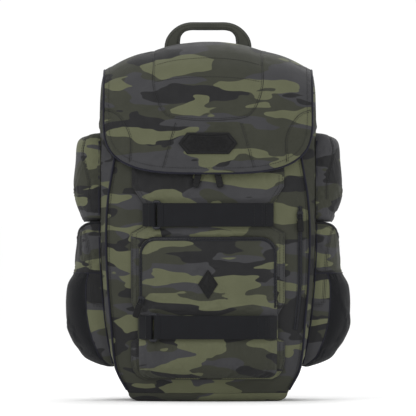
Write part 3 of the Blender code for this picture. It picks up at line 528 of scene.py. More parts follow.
def shell_part(grid, thickness, out=None):
    """A closed sheet: the grid is its outer face, with a rounded rim to its inner face."""
    columns, rows = grid.shape[:2]
    out = grid_normals(grid) if out is None else out
    inner = grid - out * thickness
    at = np.array(edge_loop(columns, rows))
    into = np.clip(at, [1, 1], [columns - 2, rows - 2])
    edge, inside = grid[at[:, 0], at[:, 1]], grid[into[:, 0], into[:, 1]]
    away = unit(np.cross(np.roll(edge, -1, 0) - np.roll(edge, 1, 0), out[at[:, 0], at[:, 1]]))
    away *= np.sign((away * (edge - inside)).sum())
    middle = (edge + inner[at[:, 0], at[:, 1]]) / 2 + away * thickness * 0.3
    return rimmed(grid, inner, at, middle)


def ring_faces(count, sides, closed=False):
    """Faces between rings of points, each with this many sides, and over the two ends of an open row."""
    i, j = np.meshgrid(np.arange(count - 1 + closed), np.arange(sides), indexing="ij")
    a, b = i * sides + j, (i + 1) % count * sides + j
    c, d = (i + 1) % count * sides + (j + 1) % sides, i * sides + (j + 1) % sides
    faces = np.stack([a, d, c, b], -1).reshape(-1, 4).tolist()
    if not closed:
        faces += [list(range(sides)), list(range((count - 1) * sides, count * sides))[::-1]]
    return faces


def tube_part(line, radius, sides=8, squash=1.0, up=(0, 0, 1), closed=False):
    """A round or oval tube along a line, with capped ends; radius may change along it."""
    line = np.array(line, float)
    ahead = unit(np.gradient(line, axis=0))
    if closed:
        ahead = unit(np.roll(line, -1, 0) - np.roll(line, 1, 0))
    side = np.empty_like(line)
    up = up if abs(np.dot(ahead[0], up)) < 0.95 else (1, 0, 0.1)
    turn = unit(np.cross(ahead[0], up))
    for k, direction in enumerate(ahead):
        turn = unit(turn - direction * turn.dot(direction))
        side[k] = turn
    rise = np.cross(side, ahead)
    angles = np.linspace(0, 2 * np.pi, sides, endpoint=False)
    radius = np.broadcast_to(radius, len(line))[:, None, None]
    ring = (side[:, None] * np.cos(angles)[None, :, None]
            + rise[:, None] * np.sin(angles)[None, :, None] * squash)
    points = line[:, None] + ring * radius
    flat = np.stack(np.broadcast_arrays(line_lengths(line)[:, None], angles * radius[:, :, 0]), -1)
    return points.reshape(-1, 3), ring_faces(len(line), sides, closed), flat.reshape(-1, 2)


def loft_part(rings):
    """A closed form through rings of points, each with the same count, capped at both ends."""
    rings = np.array(rings, float)
    count, sides = rings.shape[:2]
    along = line_lengths(rings.mean(1))
    around = line_lengths(np.vstack([rings[count // 2], rings[count // 2][:1]]))[:-1]
    flat = np.stack(np.broadcast_arrays(along[:, None], around[None]), -1)
    return rings.reshape(-1, 3), ring_faces(count, sides), flat.reshape(-1, 2)


def piece(name, part, finish, nodes=(), body="pack_body", shift=(0, 0, 0), smooth=True):
    """A finished piece from one part or several. It stands for these CAD nodes and rides on a body."""
    points, faces, cloth = join_parts(part) if isinstance(part, list) else part
    made = make_mesh(name, points, faces, finish, cloth, shift, smooth)
    outward(made)
    if body:
        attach(made, body)
    if nodes:
        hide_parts(*nodes)
    return made


def outward(made):
    """Turns a mesh's faces to look out where its volume is inside out."""
    mesh = bmesh.new()
    mesh.from_mesh(made.data)
    bmesh.ops.recalc_face_normals(mesh, faces=mesh.faces)
    mesh.to_mesh(made.data)
    mesh.free()


# ---------------------------------------------------------------- relief: padding, seams and folds
def distance_to(points, lines):
    """Each point's distance to the nearest of these lines."""
    near = np.vstack([resample(line, 1.2 * MM) for line in lines])
    tree = KDTree(len(near))
    for k, place in enumerate(near):
        tree.insert(place, k)
    tree.balance()
    flat = points.reshape(-1, 3)
    return np.array([tree.find(p)[2] for p in flat]).reshape(points.shape[:-1])


def folds(points, size, seed):
    """Smooth random heights, about -1 to 1, that change over this size."""
    shift = Vector((seed * 3.7, seed * 1.9, seed * 5.3))
    flat = points.reshape(-1, 3) / size
    return np.array([noise.noise(Vector(p) + shift) for p in flat]).reshape(points.shape[:-1])


CLOTH_PITCH, CLOTH_FRAMES = 3, 24
CLOTH_SLACK, MOST_OUT, MOST_IN = 0.03, 2.6 * MM, 0.6 * MM


def settled(grid, held, out, pressure):
    """How far out each grid point moves when a cloth simulation runs on the grid, held at some points.

    The cloth is a little longer than its panel and is pushed from inside, so that it creases as
    filled cloth does. It runs on every third point, and the others follow in between.
    """
    columns, rows = (np.unique(np.r_[np.arange(0, n, CLOTH_PITCH), n - 1]) for n in grid.shape[:2])
    coarse, pinned = grid[np.ix_(columns, rows)], held[np.ix_(columns, rows)].ravel()
    data = bpy.data.meshes.new("cloth")
    data.from_pydata(coarse.reshape(-1, 3).tolist(), [], grid_faces(len(columns), len(rows)).tolist())
    cloth = bpy.data.objects.new("cloth", data)
    bpy.context.scene.collection.objects.link(cloth)
    pins = cloth.vertex_groups.new(name="pins")
    pins.add(np.flatnonzero(pinned).tolist(), 1.0, "REPLACE")
    settings = cloth.modifiers.new("cloth", "CLOTH").settings
    settings.vertex_group_mass = "pins"
    settings.quality, settings.mass, settings.air_damping = 6, 0.25, 4
    settings.tension_stiffness = settings.compression_stiffness = 25
    settings.bending_stiffness = 0.6
    settings.shrink_min = -CLOTH_SLACK
    settings.use_pressure, settings.uniform_pressure_force = True, pressure
    scene = bpy.context.scene
    for frame_number in range(1, CLOTH_FRAMES + 1):
        scene.frame_set(frame_number)
    moved = np.empty(coarse.size)
    result = cloth.evaluated_get(bpy.context.evaluated_depsgraph_get())
    result.data.vertices.foreach_get("co", moved)
    scene.frame_set(1)
    bpy.data.objects.remove(cloth)
    push = np.einsum("ijk,ijk->ij", moved.reshape(coarse.shape) - coarse, out[np.ix_(columns, rows)])
    push = np.maximum(MOST_OUT * np.tanh(push / MOST_OUT), -MOST_IN)
    push = np.stack([np.interp(np.arange(grid.shape[1]), rows, line) for line in push])
    return np.stack([np.interp(np.arange(grid.shape[0]), columns, line) for line in push.T], 1)


def relief(grid, seams=(), puff=0.0, reach=22 * MM, groove=0.8 * MM, slack=0.6 * MM, pucker=0.4 * MM,
           seed=1, calm=None, out=None, pressure=0.0, patch=0.0):
    """The grid with its cloth puffed between seams, drawn in along them, and softly creased.

    calm is 1 where the cloth lies flat under something, and patch is 1 under a moulded patch.
    """
    out = grid_normals(grid) if out is None else out
    near = distance_to(grid, [*seams, grid[0], grid[-1], grid[:, 0], grid[:, -1]])
    sewn = distance_to(grid, seams) if seams else near + 1
    inside = 1 - np.exp(-(near / reach)**2)
    creased = folds(grid, 55 * MM, seed) * 0.7 + folds(grid, 24 * MM, seed + 9) * 0.3
    gathers = folds(grid, 9 * MM, seed + 20) * np.exp(-near / (8 * MM))
    creases = slack * creased * inside + pucker * gathers
    if pressure:
        held = (near < 2.5 * MM) | (patch + np.zeros_like(near) > 0.3)
        held = held if calm is None else held | (calm > 0.3)
        rough = grid + out * (folds(grid, 14 * MM, seed + 40) * 0.5 * MM * inside)[..., None]
        creases = creases + settled(rough, held, out, pressure)
    lift = puff * inside + creases * (1 - patch) - groove * np.exp(-(sewn / (2.2 * MM))**2)
    if calm is not None:
        lift = lift * (1 - calm) - 0.25 * MM * calm
    return grid + out * lift[..., None]


class Skin:
    """The outer face of a piece, for laying seams, stitches and patches on."""

    def __init__(self, *grids):
        parts = [(grid.reshape(-1, 3), grid_faces(*grid.shape[:2]), cloth_places(grid)) for grid in grids]
        points, faces, _ = join_parts(parts)
        self.tree = BVHTree.FromPolygons(points.tolist(), faces)

    def lay(self, line, out, lift=0.0):
        """The line dropped on to the skin against these outward directions, then raised by lift."""
        line, out = np.array(line, float), unit(np.broadcast_to(np.array(out, float), np.shape(line)))
        laid, normals = [], []
        for place, direction in zip(line, out):
            hit, normal, _, _ = self.tree.ray_cast(Vector(place + direction * 0.05), Vector(-direction), 0.12)
            if hit is None:
                hit, normal, _, _ = self.tree.find_nearest(Vector(place))
            normal = normal if normal.dot(Vector(direction)) > 0 else -normal
            laid.append(np.array(hit) + np.array(normal) * lift)
            normals.append(np.array(normal))
        return np.array(laid), np.array(normals)


STITCH, STITCH_GAP, THREAD, STITCH_LIFT = 2.7 * MM, 1.0 * MM, 0.33 * MM, 0.1 * MM
STITCH_SHAPE = ((0, -0.4, 0.7), (0.25, 0.5, 1), (0.75, 0.5, 1), (1, -0.4, 0.7))
FORWARD, BACKWARD = np.array([0.0, -1.0, 0.0]), np.array([0.0, 1.0, 0.0])


def stitch_parts(line, out):
    """A row of stitches along a laid line: short lengths of thread, sunk at their ends."""
    along = line_lengths(line)
    out = np.broadcast_to(out, line.shape)
    count = max(int(along[-1] / (STITCH + STITCH_GAP)), 1)
    parts = []
    for k in range(count):
        start = (k + 0.5) * along[-1] / count - STITCH / 2
        up = along_line(start, along, out)
        bend = [along_line(start + STITCH * t, along, line) + up * lift * THREAD
                for t, lift, _ in STITCH_SHAPE]
        parts.append(tube_part(bend, [THREAD * size for _, _, size in STITCH_SHAPE], sides=5))
    return parts


def offset_line(line, out, distance):
    """The line moved sideways on its surface."""
    ahead = unit(np.gradient(line, axis=0))
    return line + np.cross(out, ahead) * distance


# ---------------------------------------------------------------- shared small makers
def mm(*points):
    return np.array(points, float) * MM


def box_parts(centres, a, b, c):
    """Many small boxes at once, from their centres and half axes."""
    signs = np.array([(x, y, z) for x in (-1, 1) for y in (-1, 1) for z in (-1, 1)], float)
    reach = sum(signs[None, :, k, None] * axis[:, None] for k, axis in enumerate((a, b, c)))
    corners = centres[:, None] + reach
    six = np.array([(0, 1, 3, 2), (4, 6, 7, 5), (0, 4, 5, 1), (2, 3, 7, 6), (0, 2, 6, 4), (1, 5, 7, 3)])
    faces = (six[None] + 8 * np.arange(len(centres))[:, None, None]).reshape(-1, 4)
    return corners.reshape(-1, 3), faces, np.zeros((len(centres) * 8, 2))


def ribbon_part(line, out, width, thickness, across=6):
    """A flat band along a laid line; its lower face lies on the line."""
    ahead = unit(np.gradient(line, axis=0))
    side = unit(np.cross(ahead, out))
    places = np.linspace(-0.5, 0.5, across)
    normal = np.repeat(out[:, None], across, 1)
    grid = line[:, None] + side[:, None] * (places[None, :, None] * width) + normal * thickness
    grid, normal = facing(grid, normal)
    return shell_part(grid, thickness, normal)


def zipper(name, line, out, tape, coil, node, lift=0.2 * MM):
    """A coil zip: its tape, and two rows of coil turns that lock along the middle."""
    base = line + out * lift
    piece(name, ribbon_part(base, out, tape, 0.5 * MM), "zip_tape", [node])
    centres = resample(base + out * 0.8 * MM, 0.62 * MM)
    up = unit(along_line(line_lengths(centres), line_lengths(base), out))
    ahead = unit(np.gradient(centres, axis=0))
    side = np.cross(ahead, up)
    hand = np.where(np.arange(len(centres)) % 2 == 0, 1, -1)[:, None]
    slant = side + ahead * hand * 0.12
    middles = centres + side * hand * coil * 0.17
    teeth = box_parts(middles, ahead * 0.24 * MM, slant * coil * 0.31, up * 0.42 * MM)
    piece(name + "_coil", teeth, "coil", smooth=False)


def stitched(name, rows, body="pack_body"):
    """Rows of stitches, each a laid (line, out)."""
    piece(name, [stitch for line, out in rows for stitch in stitch_parts(line, out)], "thread", body=body)


def shadow_lined_seams(skin, lines, name):
    """Sewn seams on the front of a skin: a thin dark cord along the fold as a painted shadow line, between two
    rows of stitches.
    """
    cord, beside = 0.42 * MM, 2.2 * MM
    cords, rows = [], []
    for line in lines:
        laid, normals = skin.lay(resample(line, 2.5 * MM), FORWARD)
        # The dark cord along the fold stands in for the shadow in it: a painted shadow line.
        cords.append(tube_part(laid + normals * cord * 0.2, cord, sides=6))
        for side in (-1, 1):
            rows.append(skin.lay(offset_line(laid, normals, side * beside), normals, STITCH_LIFT))
    piece(name + "_seams", cords, "thread")
    stitched(name + "_stitching", rows)


def opening_point(share, half, bottom, z_end):
    """(profile share, x) along a U: down the left side from the rear, round below, up the right."""
    side_length = 0.36
    turn = share_at(LID_EDGE_TOP)
    up = 1 - np.minimum(share, 1 - share) / side_length
    x = half * np.sin(np.pi * (np.clip((share - side_length) / (1 - 2 * side_length), 0, 1) - 0.5))
    below = share_at(lid_edge_z(x, half, bottom))
    on_side = up > 0
    across = np.where(on_side, np.where(share < 0.5, -half, half), x)
    return np.where(on_side, turn + up * (z_end - turn), below), across


def near_patch(x, z, middle, half_width, half_height):
    """1 under a moulded patch, falling to 0 round it."""
    across, up = np.abs(x) - half_width, np.abs(z - middle) - half_height
    return (1 - ramp(across, 0, 8 * MM)) * (1 - ramp(up, 0, 8 * MM))


# ---------------------------------------------------------------- lid
BADGE_Z, EMBLEM_Z = 362 * MM, 165 * MM


def lid_share(x, z):
    """The profile share where the lid's outside at x reaches height z."""
    shares = np.linspace(0.3, 0.9, 400)
    return np.interp(z, hull(shares, x, LID_LEVEL)[:, 2], shares)


def lid_route(points):
    """A smooth line over the lid from (x, z) in millimetres, or (x, share) where the second is below 1."""
    return smooth_line([(lid_share(x * MM, z * MM) if z > 1 else z, x * MM) for x, z in points], 10)


def lid_out(share, x=0.0):
    """Directions straight out of the lid."""
    out = profile_normal(share)
    lean = 2 * CROWN * np.broadcast_to(x, np.shape(share)) / LID_HALF**2
    return unit(np.concatenate([lean[..., None], out], -1))


def make_lid():
    u, v = unit_grid(191, 161)
    x = LID_HALF * np.sin(np.pi * (u - 0.5))
    start = share_at(lid_edge_z(x))
    share = start + v * (LID_REAR - start)
    grid = hull(share, x, LID_LEVEL - 0.6 * MM)

    half_u = [(-76.7, 0.97), (-77, 0.8), (-77.8, 451), (-72.4, 425), (-57.4, 401.5), (-31.5, 396), (0, 394)]
    yoke = half_u + [(-x, z) for x, z in reversed(half_u[:-1])]
    corner = [(-144.5, 410), (-128, 403), (-113, 381), (-108.8, 362), (-110.5, 336)]
    slant = [(-45.5, 391), (-54, 362), (-63.5, 328)]
    routes = [lid_route(yoke)]
    for sign in (-1, 1):
        routes += [lid_route([(-sign * x, z) for x, z in line]) for line in (corner, slant)]
    rungs = [np.array([(lid_share(0, z * MM), x * MM) for x in np.linspace(-76, 76, 20)])
             for z in (481.6, 455)]
    lines = [hull(route[:, 0], route[:, 1], LID_LEVEL) for route in routes]
    out = lid_out(share, x)
    grid = relief(grid, lines, puff=2.2 * MM, reach=20 * MM, groove=1.3 * MM, slack=0.9 * MM, seed=3, out=out,
                  pressure=0.8, patch=near_patch(x, grid[..., 2], BADGE_Z, 40 * MM, 17 * MM))
    shell = piece("lid_cloth", shell_part(grid, LID_THICKNESS - 0.8 * MM, out), "camo", ["lid_shell"], "lid")

    skin = Skin(grid)

    def laid_on(along, across, lift=0.0):
        return skin.lay(hull(along, across, LID_LEVEL), lid_out(along), lift)

    cords, rows = [], []
    for route in routes:
        laid, up = laid_on(*route.T)
        # A thin dark cord along each seam's fold: a painted shadow line.
        cords.append(tube_part(laid, 0.45 * MM, sides=6))
        rows.append(skin.lay(offset_line(laid, up, 2.4 * MM), up, STITCH_LIFT))
    rows += [laid_on(*route.T, STITCH_LIFT) for route in rungs]
    piece("lid_seam_shadow_cords", cords, "thread", body="lid")
    hem = opening_point(np.linspace(0.004, 0.996, 420), LID_HALF - 6 * MM, LID_EDGE_BOTTOM + 6 * MM, LID_REAR)
    rows.append(laid_on(*hem, STITCH_LIFT))
    stitched("lid_stitching", rows, "lid")

    outside = 1.3 * MM
    along, across = opening_point(np.linspace(0, 1, 300), LID_HALF + outside, LID_EDGE_BOTTOM - outside,
                                  LID_REAR)
    fallen = crown(across) - crown(np.minimum(np.abs(across), LID_HALF))
    edge = resample(hull(along, across, LID_LEVEL - LID_THICKNESS / 2 + fallen), 3 * MM)
    piece("lid_edge_piping", tube_part(edge, PIPING, sides=12), "piping", ["lid_piping"], "lid")

    inset = 20 * MM
    u, v = unit_grid(90, 80)
    x = (LID_HALF - inset) * np.sin(np.pi * (u - 0.5))
    start = share_at(lid_edge_z(x, LID_HALF - inset, LID_EDGE_BOTTOM + inset))
    inner = hull(start + v * (LID_REAR - inset / 2 - start), x, LINING_LEVEL)
    inner = relief(inner, slack=0.5 * MM, pucker=0.5 * MM, seed=5)
    lining = piece("lid_inner_lining", shell_part(inner, 0.8 * MM), "lining", ["lid_lining"], "lid")
    return skin


def make_hinge_strip():
    """The cloth gusset from the yoke to the lid's rear edge: a slack fold. On the pack it opens as the lid turns;
    here it rides on no body and keeps its shape.
    """
    u, v = unit_grid(121, 25, -1)
    x = u * HINGE_HALF
    y = (75 - HINGE_RUN_MM * v) * MM - 0.13 * crown(x)
    z = (500.4 + 0.9 * v - HINGE_SLACK_MM * np.sin(np.pi * v)) * MM - crown(x)
    grid = np.stack([x, y, z], -1)
    grid = grid[::-1] if grid_normals(grid)[..., 2].mean() < 0 else grid
    strip = piece("lid_hinge_gusset", shell_part(grid, 1 * MM), "camo_dark", ["lid_hinge_strip"], None)
    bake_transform(strip)


def seated(skin, rim):
    """How far a stiff patch stands forward, so that the cloth under its rim doesn't show through it."""
    return float(np.percentile(rim[:, 1] - skin.lay(rim, FORWARD)[0][:, 1], 75))


def make_badge(skin):
    """A long hexagonal rubber badge: a raised frame round a sunk field with fine bars."""
    half_length, half_height, taper = 41.5 * MM, 15 * MM, 12 * MM
    shoulder = half_length - taper
    corners = [(half_length, 0), (shoulder, 1), (-shoulder, 1),
               (-half_length, 0), (-shoulder, -1), (shoulder, -1)]
    hexagon = np.array([(x0 + (x1 - x0) * t, (s0 + (s1 - s0) * t) * half_height)
                        for (x0, s0), (x1, s1) in zip(corners, corners[1:] + corners[:1])
                        for t in np.linspace(0, 1, 8, endpoint=False)])
    inwards = unit(hexagon * [0.45, 1]) * [1.2, 1] * half_height

    def on_lid(places, level):
        share = np.array([lid_share(x, BADGE_Z + z) for x, z in places])
        return hull(share, places[:, 0], level)

    seat = LID_LEVEL + seated(skin, on_lid(hexagon, LID_LEVEL))
    section = [(0.97, -2.5), (1.0, 0.9), (0.97, 2.3), (0.9, 2.7), (0.8, 2.7), (0.74, 2.3), (0.72, 1.5),
               (0.3, 1.6)]
    rings = [on_lid(hexagon - inwards * (1 - scale), seat + lift * MM) for scale, lift in section]
    piece("lid_badge_plate", loft_part(rings), "rubber", ["lid_badge"], "lid")
    bars = []
    for z in np.arange(-8, 8.1, 2) * MM:
        reach = half_length - 12 * MM - taper * abs(z) / half_height
        bar = np.column_stack([np.linspace(-reach, reach, 24), np.full(24, z)])
        bars.append(tube_part(on_lid(bar, seat + 1.6 * MM), 0.42 * MM, sides=6))
    piece("lid_badge_bars", bars, "rubber", body="lid")


# ---------------------------------------------------------------- main shell
def make_front_panel():
    u, v = unit_grid(151, 151, -1)
    top = lid_edge_z(u * edge_half(350 * MM), OPENING_HALF + 3 * MM, OPENING_BOTTOM) - 4.5 * MM
    z = FLOOR_Z + v * (top - FLOOR_Z)
    x = u * (edge_half(z) - 1.4 * MM)
    under = ramp(organiser_half(z) + 4 * MM - np.abs(x), 0, 6 * MM) * ramp(z, 25 * MM, 32 * MM)
    zip_near = ramp(7 * MM - np.abs(x - 129 * MM), 0, 4 * MM) * ramp(z, 90 * MM, 100 * MM)
    grid = relief(front(x, z, 0), puff=1.0 * MM, reach=14 * MM, slack=0.6 * MM, seed=11,
                  calm=np.maximum(under, zip_near))
    piece("front_panel_cloth", shell_part(grid, PANEL), "camo", ["front_panel"], shift=(0.3, 0.1, 0.02))
    return Skin(grid)


def gusset_grid(sign):
    u, v = unit_grid(111, 191)
    share = share_at(FLOOR_Z) + v * (1 - share_at(FLOOR_Z))
    spine = profile(share)
    z = spine[..., 1]
    x = np.where(share < share_at(LID_EDGE_TOP), edge_half(z), RIM_HALF)
    upright = (1 - ramp(z, 300 * MM, 360 * MM))[..., None]
    normal = unit(profile_normal(share) * (1 - upright) + np.array([-1.0, 0.0]) * upright)
    start = spine + normal * (rim_rise(z) - crown(x))[..., None]
    end = np.stack([np.full_like(v, REAR_Y), FLOOR_Z + v * 445.5 * MM], -1)
    place = start + (end - start) * u[..., None]
    across = x + (side_half(place[..., 1]) - x) * swell(u, 0.16)
    return np.dstack([sign * across, place])[::sign]


def make_gusset(side, sign):
    grid = gusset_grid(sign)
    y, z = grid[..., 1], grid[..., 2]
    behind, below = ramp(y, -52 * MM, -47 * MM), 1 - ramp(z, 378 * MM, 386 * MM)
    pocketed = behind * below * (1 - ramp(y, 68 * MM, 74 * MM))
    grid = relief(grid, puff=0.8 * MM, reach=16 * MM, slack=0.9 * MM, seed=21 + sign, calm=pocketed,
                  pressure=0.5)
    piece(f"side_gusset_cloth_{side}", shell_part(grid, PANEL), "camo", [f"side_gusset_{side}"],
          shift=(0.9 * sign, 0.4, 0.13))


def make_base():
    u, v = unit_grid(81, 61)
    half = side_half(FLOOR_Z) - MM

    def layer(w):
        inset = (1 - w) * 4 * MM
        x = (2 * u - 1) * (half - inset)
        front_y = front(x, FLOOR_Z, 0)[..., 1] + inset
        y = front_y + v * (REAR_Y - inset - front_y)
        edge = np.minimum(half - inset - np.abs(x), y - front_y)
        low = 4 * MM * (1 - swell(edge, 12 * MM))
        return np.stack([x, y, low + w * (FLOOR_Z - GAP - low)], -1)

    top, bottom = layer(1), layer(0)
    at = np.array(edge_loop(81, 61))
    bulge = unit((top - top.mean((0, 1))) * [1, 1, 0])[at[:, 0], at[:, 1]] * 1.2 * MM
    middle = (top + bottom)[at[:, 0], at[:, 1]] / 2 + bulge
    piece("base_cloth", rimmed(top, bottom, at, middle), "camo", ["base_panel"], shift=(0.2, 0.7, 0.31))


def make_piping(skin, side, sign):
    z = np.linspace(FLOOR_Z + 4 * MM, FLOOR_Z + 342 * MM, 90)
    line = front(sign * edge_half(z), z, PIPING + 1.5 * GAP)
    piece(f"front_corner_piping_{side}", tube_part(line, PIPING, sides=12), "piping", [f"front_piping_{side}"])
    row = skin.lay(front(sign * (edge_half(z) - 4.5 * MM), z, 0), FORWARD, STITCH_LIFT)
    stitched(f"front_corner_stitching_{side}", [row])


def make_main_zip():
    shares = np.linspace(0, 1, 400)
    along, x = opening_point(shares, OPENING_HALF, OPENING_BOTTOM, 0.97)
    out = lid_out(along, x)
    line = resample(hull(along, x, rim_rise(profile(along)[:, 1]) + GAP / 2), 2.5 * MM)
    out = unit(along_line(np.linspace(0, 1, len(line)), shares, out))
    zipper("main_zip", line, out, 13 * MM, 4 * MM, "main_zip_track", lift=0)


# ---------------------------------------------------------------- front pockets
UPPER_STRAP_Z, LOWER_STRAP_Z = 262 * MM, 104.5 * MM


def under_strap(z, middle):
    return 1 - ramp(np.abs(z - middle), STRAP_WIDTH / 2 + 1 * MM, STRAP_WIDTH / 2 + 9 * MM)


def make_organiser():
    u, v = unit_grid(171, 211, -1)
    low = 31.5 * MM
    z = low + v * (lid_edge_z(u * 106 * MM) - 1.5 * MM - low)
    x = u * organiser_half(z)
    pocket = ramp(pocket_half(z) + 3 * MM - np.abs(x), 0, 5 * MM)
    pocket = pocket * (1 - ramp(z, POCKET_TOP, POCKET_TOP + 5 * MM))
    calm = np.maximum(pocket, under_strap(z, UPPER_STRAP_Z))
    grid = relief(front(x, z, organiser_level(x, z)), puff=1.6 * MM, reach=16 * MM, slack=0.8 * MM, seed=31,
                  calm=calm, pressure=0.4)
    made = piece("organiser_cloth", shell_part(grid, 2.4 * MM), "camo", ["organiser_panel"],
                 shift=(0.05, 0.2, 0.44))
    skin = Skin(grid)
    z = np.linspace(36, 318, 150) * MM
    rows = []
    for inset in (2 * MM, 7 * MM):
        for sign in (-1, 1):
            x = sign * (organiser_half(z) - inset)
            rows.append(skin.lay(front(x, z, organiser_level(x, z)), FORWARD, STITCH_LIFT))
    x = np.linspace(-88, 88, 60) * MM
    rows.append(skin.lay(front(x, 33.2 * MM, 3 * MM), FORWARD, STITCH_LIFT))
    stitched("organiser_stitching", rows)
    # A thin dark cord round the organiser's edge, where it meets the front panel: a painted shadow line.
    z = np.linspace(31.5, 326, 150) * MM
    outline = [front(sign * organiser_half(z), z, 1.6 * MM) for sign in (-1, 1)]
    outline.append(front(np.linspace(-90, 90, 60) * MM, low, 1.6 * MM))
    piece("organiser_edge_shadow_cord", [tube_part(line, 0.7 * MM, sides=6) for line in outline], "thread")


def make_front_pocket():
    u, v = unit_grid(161, 161, -1)
    z = POCKET_BOTTOM + v * (POCKET_TOP - POCKET_BOTTOM)
    x = u * pocket_half(z)
    grid = relief(front(x, z, pocket_level(x, z)), puff=1.6 * MM, reach=26 * MM, slack=0.9 * MM, pucker=0.3 * MM,
                  seed=41, calm=under_strap(z, LOWER_STRAP_Z), pressure=0.8,
                  patch=near_patch(x, z, EMBLEM_Z, 9 * MM, 14 * MM))
    made = piece("front_pocket_cloth", shell_part(grid, 1.6 * MM), "camo", ["front_pocket"],
                 shift=(0.6, 0.15, 0.21))
    return Skin(grid)


ZIP_X, ZIP_TOP, ZIP_RADIUS = 94 * MM, 228 * MM, 21 * MM


def make_front_zips(pocket, panel):
    turn = np.linspace(0, np.pi / 2, 16)[1:]
    left = np.column_stack([-ZIP_X + ZIP_RADIUS * (1 - np.cos(turn)),
                            ZIP_TOP - ZIP_RADIUS * (1 - np.sin(turn))])
    right = left[::-1] * [-1, 1]
    route = np.vstack([[(-ZIP_X, 139.4 * MM), (-ZIP_X, ZIP_TOP - ZIP_RADIUS)], left, right,
                       [(ZIP_X, ZIP_TOP - ZIP_RADIUS), (ZIP_X, 132 * MM)]])
    x, z = resample(route, 2.2 * MM).T
    line, out = pocket.lay(front(x, z, pocket_level(x, z)), FORWARD)
    zipper("front_pocket_zipper", line, out, 4.6 * MM, 2.2 * MM, "front_pocket_zip")
    stitched("front_pocket_stitching", [pocket.lay(offset_line(line, out, 3.6 * MM), out, STITCH_LIFT)])
    route = mm((129.2, 274), (129.2, 225), (129.2, 178), (128.2, 155), (126, 130), (122.6, 101))
    x, z = smooth_line(route, 20).T
    line, out = panel.lay(resample(front(x, z, 0), 2.2 * MM), FORWARD)
    zipper("side_pocket_zipper", line, out, 6 * MM, 2.6 * MM, "side_zip")
    rows = [panel.lay(offset_line(line, out, side * 4.6 * MM), out, STITCH_LIFT) for side in (-1, 1)]
    stitched("side_zipper_stitching", rows)


def make_emblem(pocket):
    """A plain lozenge patch in soft rubber, with a raised rim."""
    t = np.linspace(0, 4, 40, endpoint=False)
    corners = np.array([(1, 0), (0, 1), (-1, 0), (0, -1), (1, 0)], float)
    lozenge = along_line(t, range(5), corners) * [14 * MM, 21 * MM]

    def ring(scale, lift):
        x, z = (lozenge * scale + [0, EMBLEM_Z]).T
        return front(x, z, pocket_level(x, z) + lift)

    seat = seated(pocket, ring(1, 0))
    section = [(0.97, -2), (1, 0.6), (0.96, 1.5), (0.86, 1.6), (0.8, 1.5), (0.78, 1.0), (0.4, 1.0), (0.36, 1.5),
               (0.1, 1.6)]
    rings = [ring(scale, seat + lift * MM) for scale, lift in section]
    piece("pocket_patch", loft_part(rings), "rubber", ["pocket_emblem"])


# ---------------------------------------------------------------- side pockets
POCKET_MIDDLE_Y, POCKET_HALF_DEPTH, UPPER_POCKET_Y, UPPER_HALF_DEPTH = 10 * MM, 57 * MM, 3 * MM, 52 * MM
SECTION_POWER = 0.72
BOTTLE_BOTTOM, UPPER_BOTTOM, UPPER_TOP, MESH_TOP = 49 * MM, 252.1 * MM, 377.5 * MM, 180 * MM
MESH_START = 19


def section(turn, depth, half_depth):
    """A half oval in plan at this turn in degrees: (out from the gusset, along y)."""
    a = np.radians(turn)
    cosine = np.cos(a)
    along = -np.sign(cosine) * np.abs(cosine)**SECTION_POWER * half_depth
    return depth * np.abs(np.sin(a))**SECTION_POWER, along


def tucked(out):
    """The distance out from the gusset, run down into it where the pocket is sewn on."""
    return out - 1.3 * MM * np.exp(-(out / (3 * MM))**2)


def mouth_z(y):
    """The bottle pocket's slanted mouth, high in front and low behind."""
    return 251.5 * MM - (y + 48 * MM) / (116 * MM) * 47 * MM


def pocket_grid(sign, turns, low, high, columns, rows, closing=0.05):
    """Part of a bottle pocket's outside, between two turns and two heights; below 0 it closes under."""
    u, v = np.meshgrid(np.linspace(0, 1, columns), np.linspace(-closing, 1, rows), indexing="ij")
    turn = turns[0] + u * (turns[1] - turns[0])
    y = section(turn, 0, POCKET_HALF_DEPTH)[1] + POCKET_MIDDLE_Y
    top = mouth_z(y) if high is None else high
    z = low + np.maximum(v, 0) * (top - low)
    wall = side_half(z) + 1.5 * GAP
    shut = 1 + np.minimum(v, 0) / max(closing, 1e-6)
    half_depth = rounded_half(z, POCKET_HALF_DEPTH, BOTTLE_BOTTOM, 1, 24 * MM, 0.1 * MM)
    out, along = section(turn, (bottle_pocket_half(z) - wall) * shut, half_depth)
    grid = np.stack([sign * (wall + tucked(out)), POCKET_MIDDLE_Y + along, z - (1 - shut) * 0.4 * MM], -1)
    return grid if sign > 0 else grid[::-1]


def wall_seam(sign, y, z):
    """A line on the gusset at this y, where a pocket's edge is sewn down."""
    return np.column_stack([sign * (side_half(z) + 0.8 * MM), np.full(len(z), y), z])


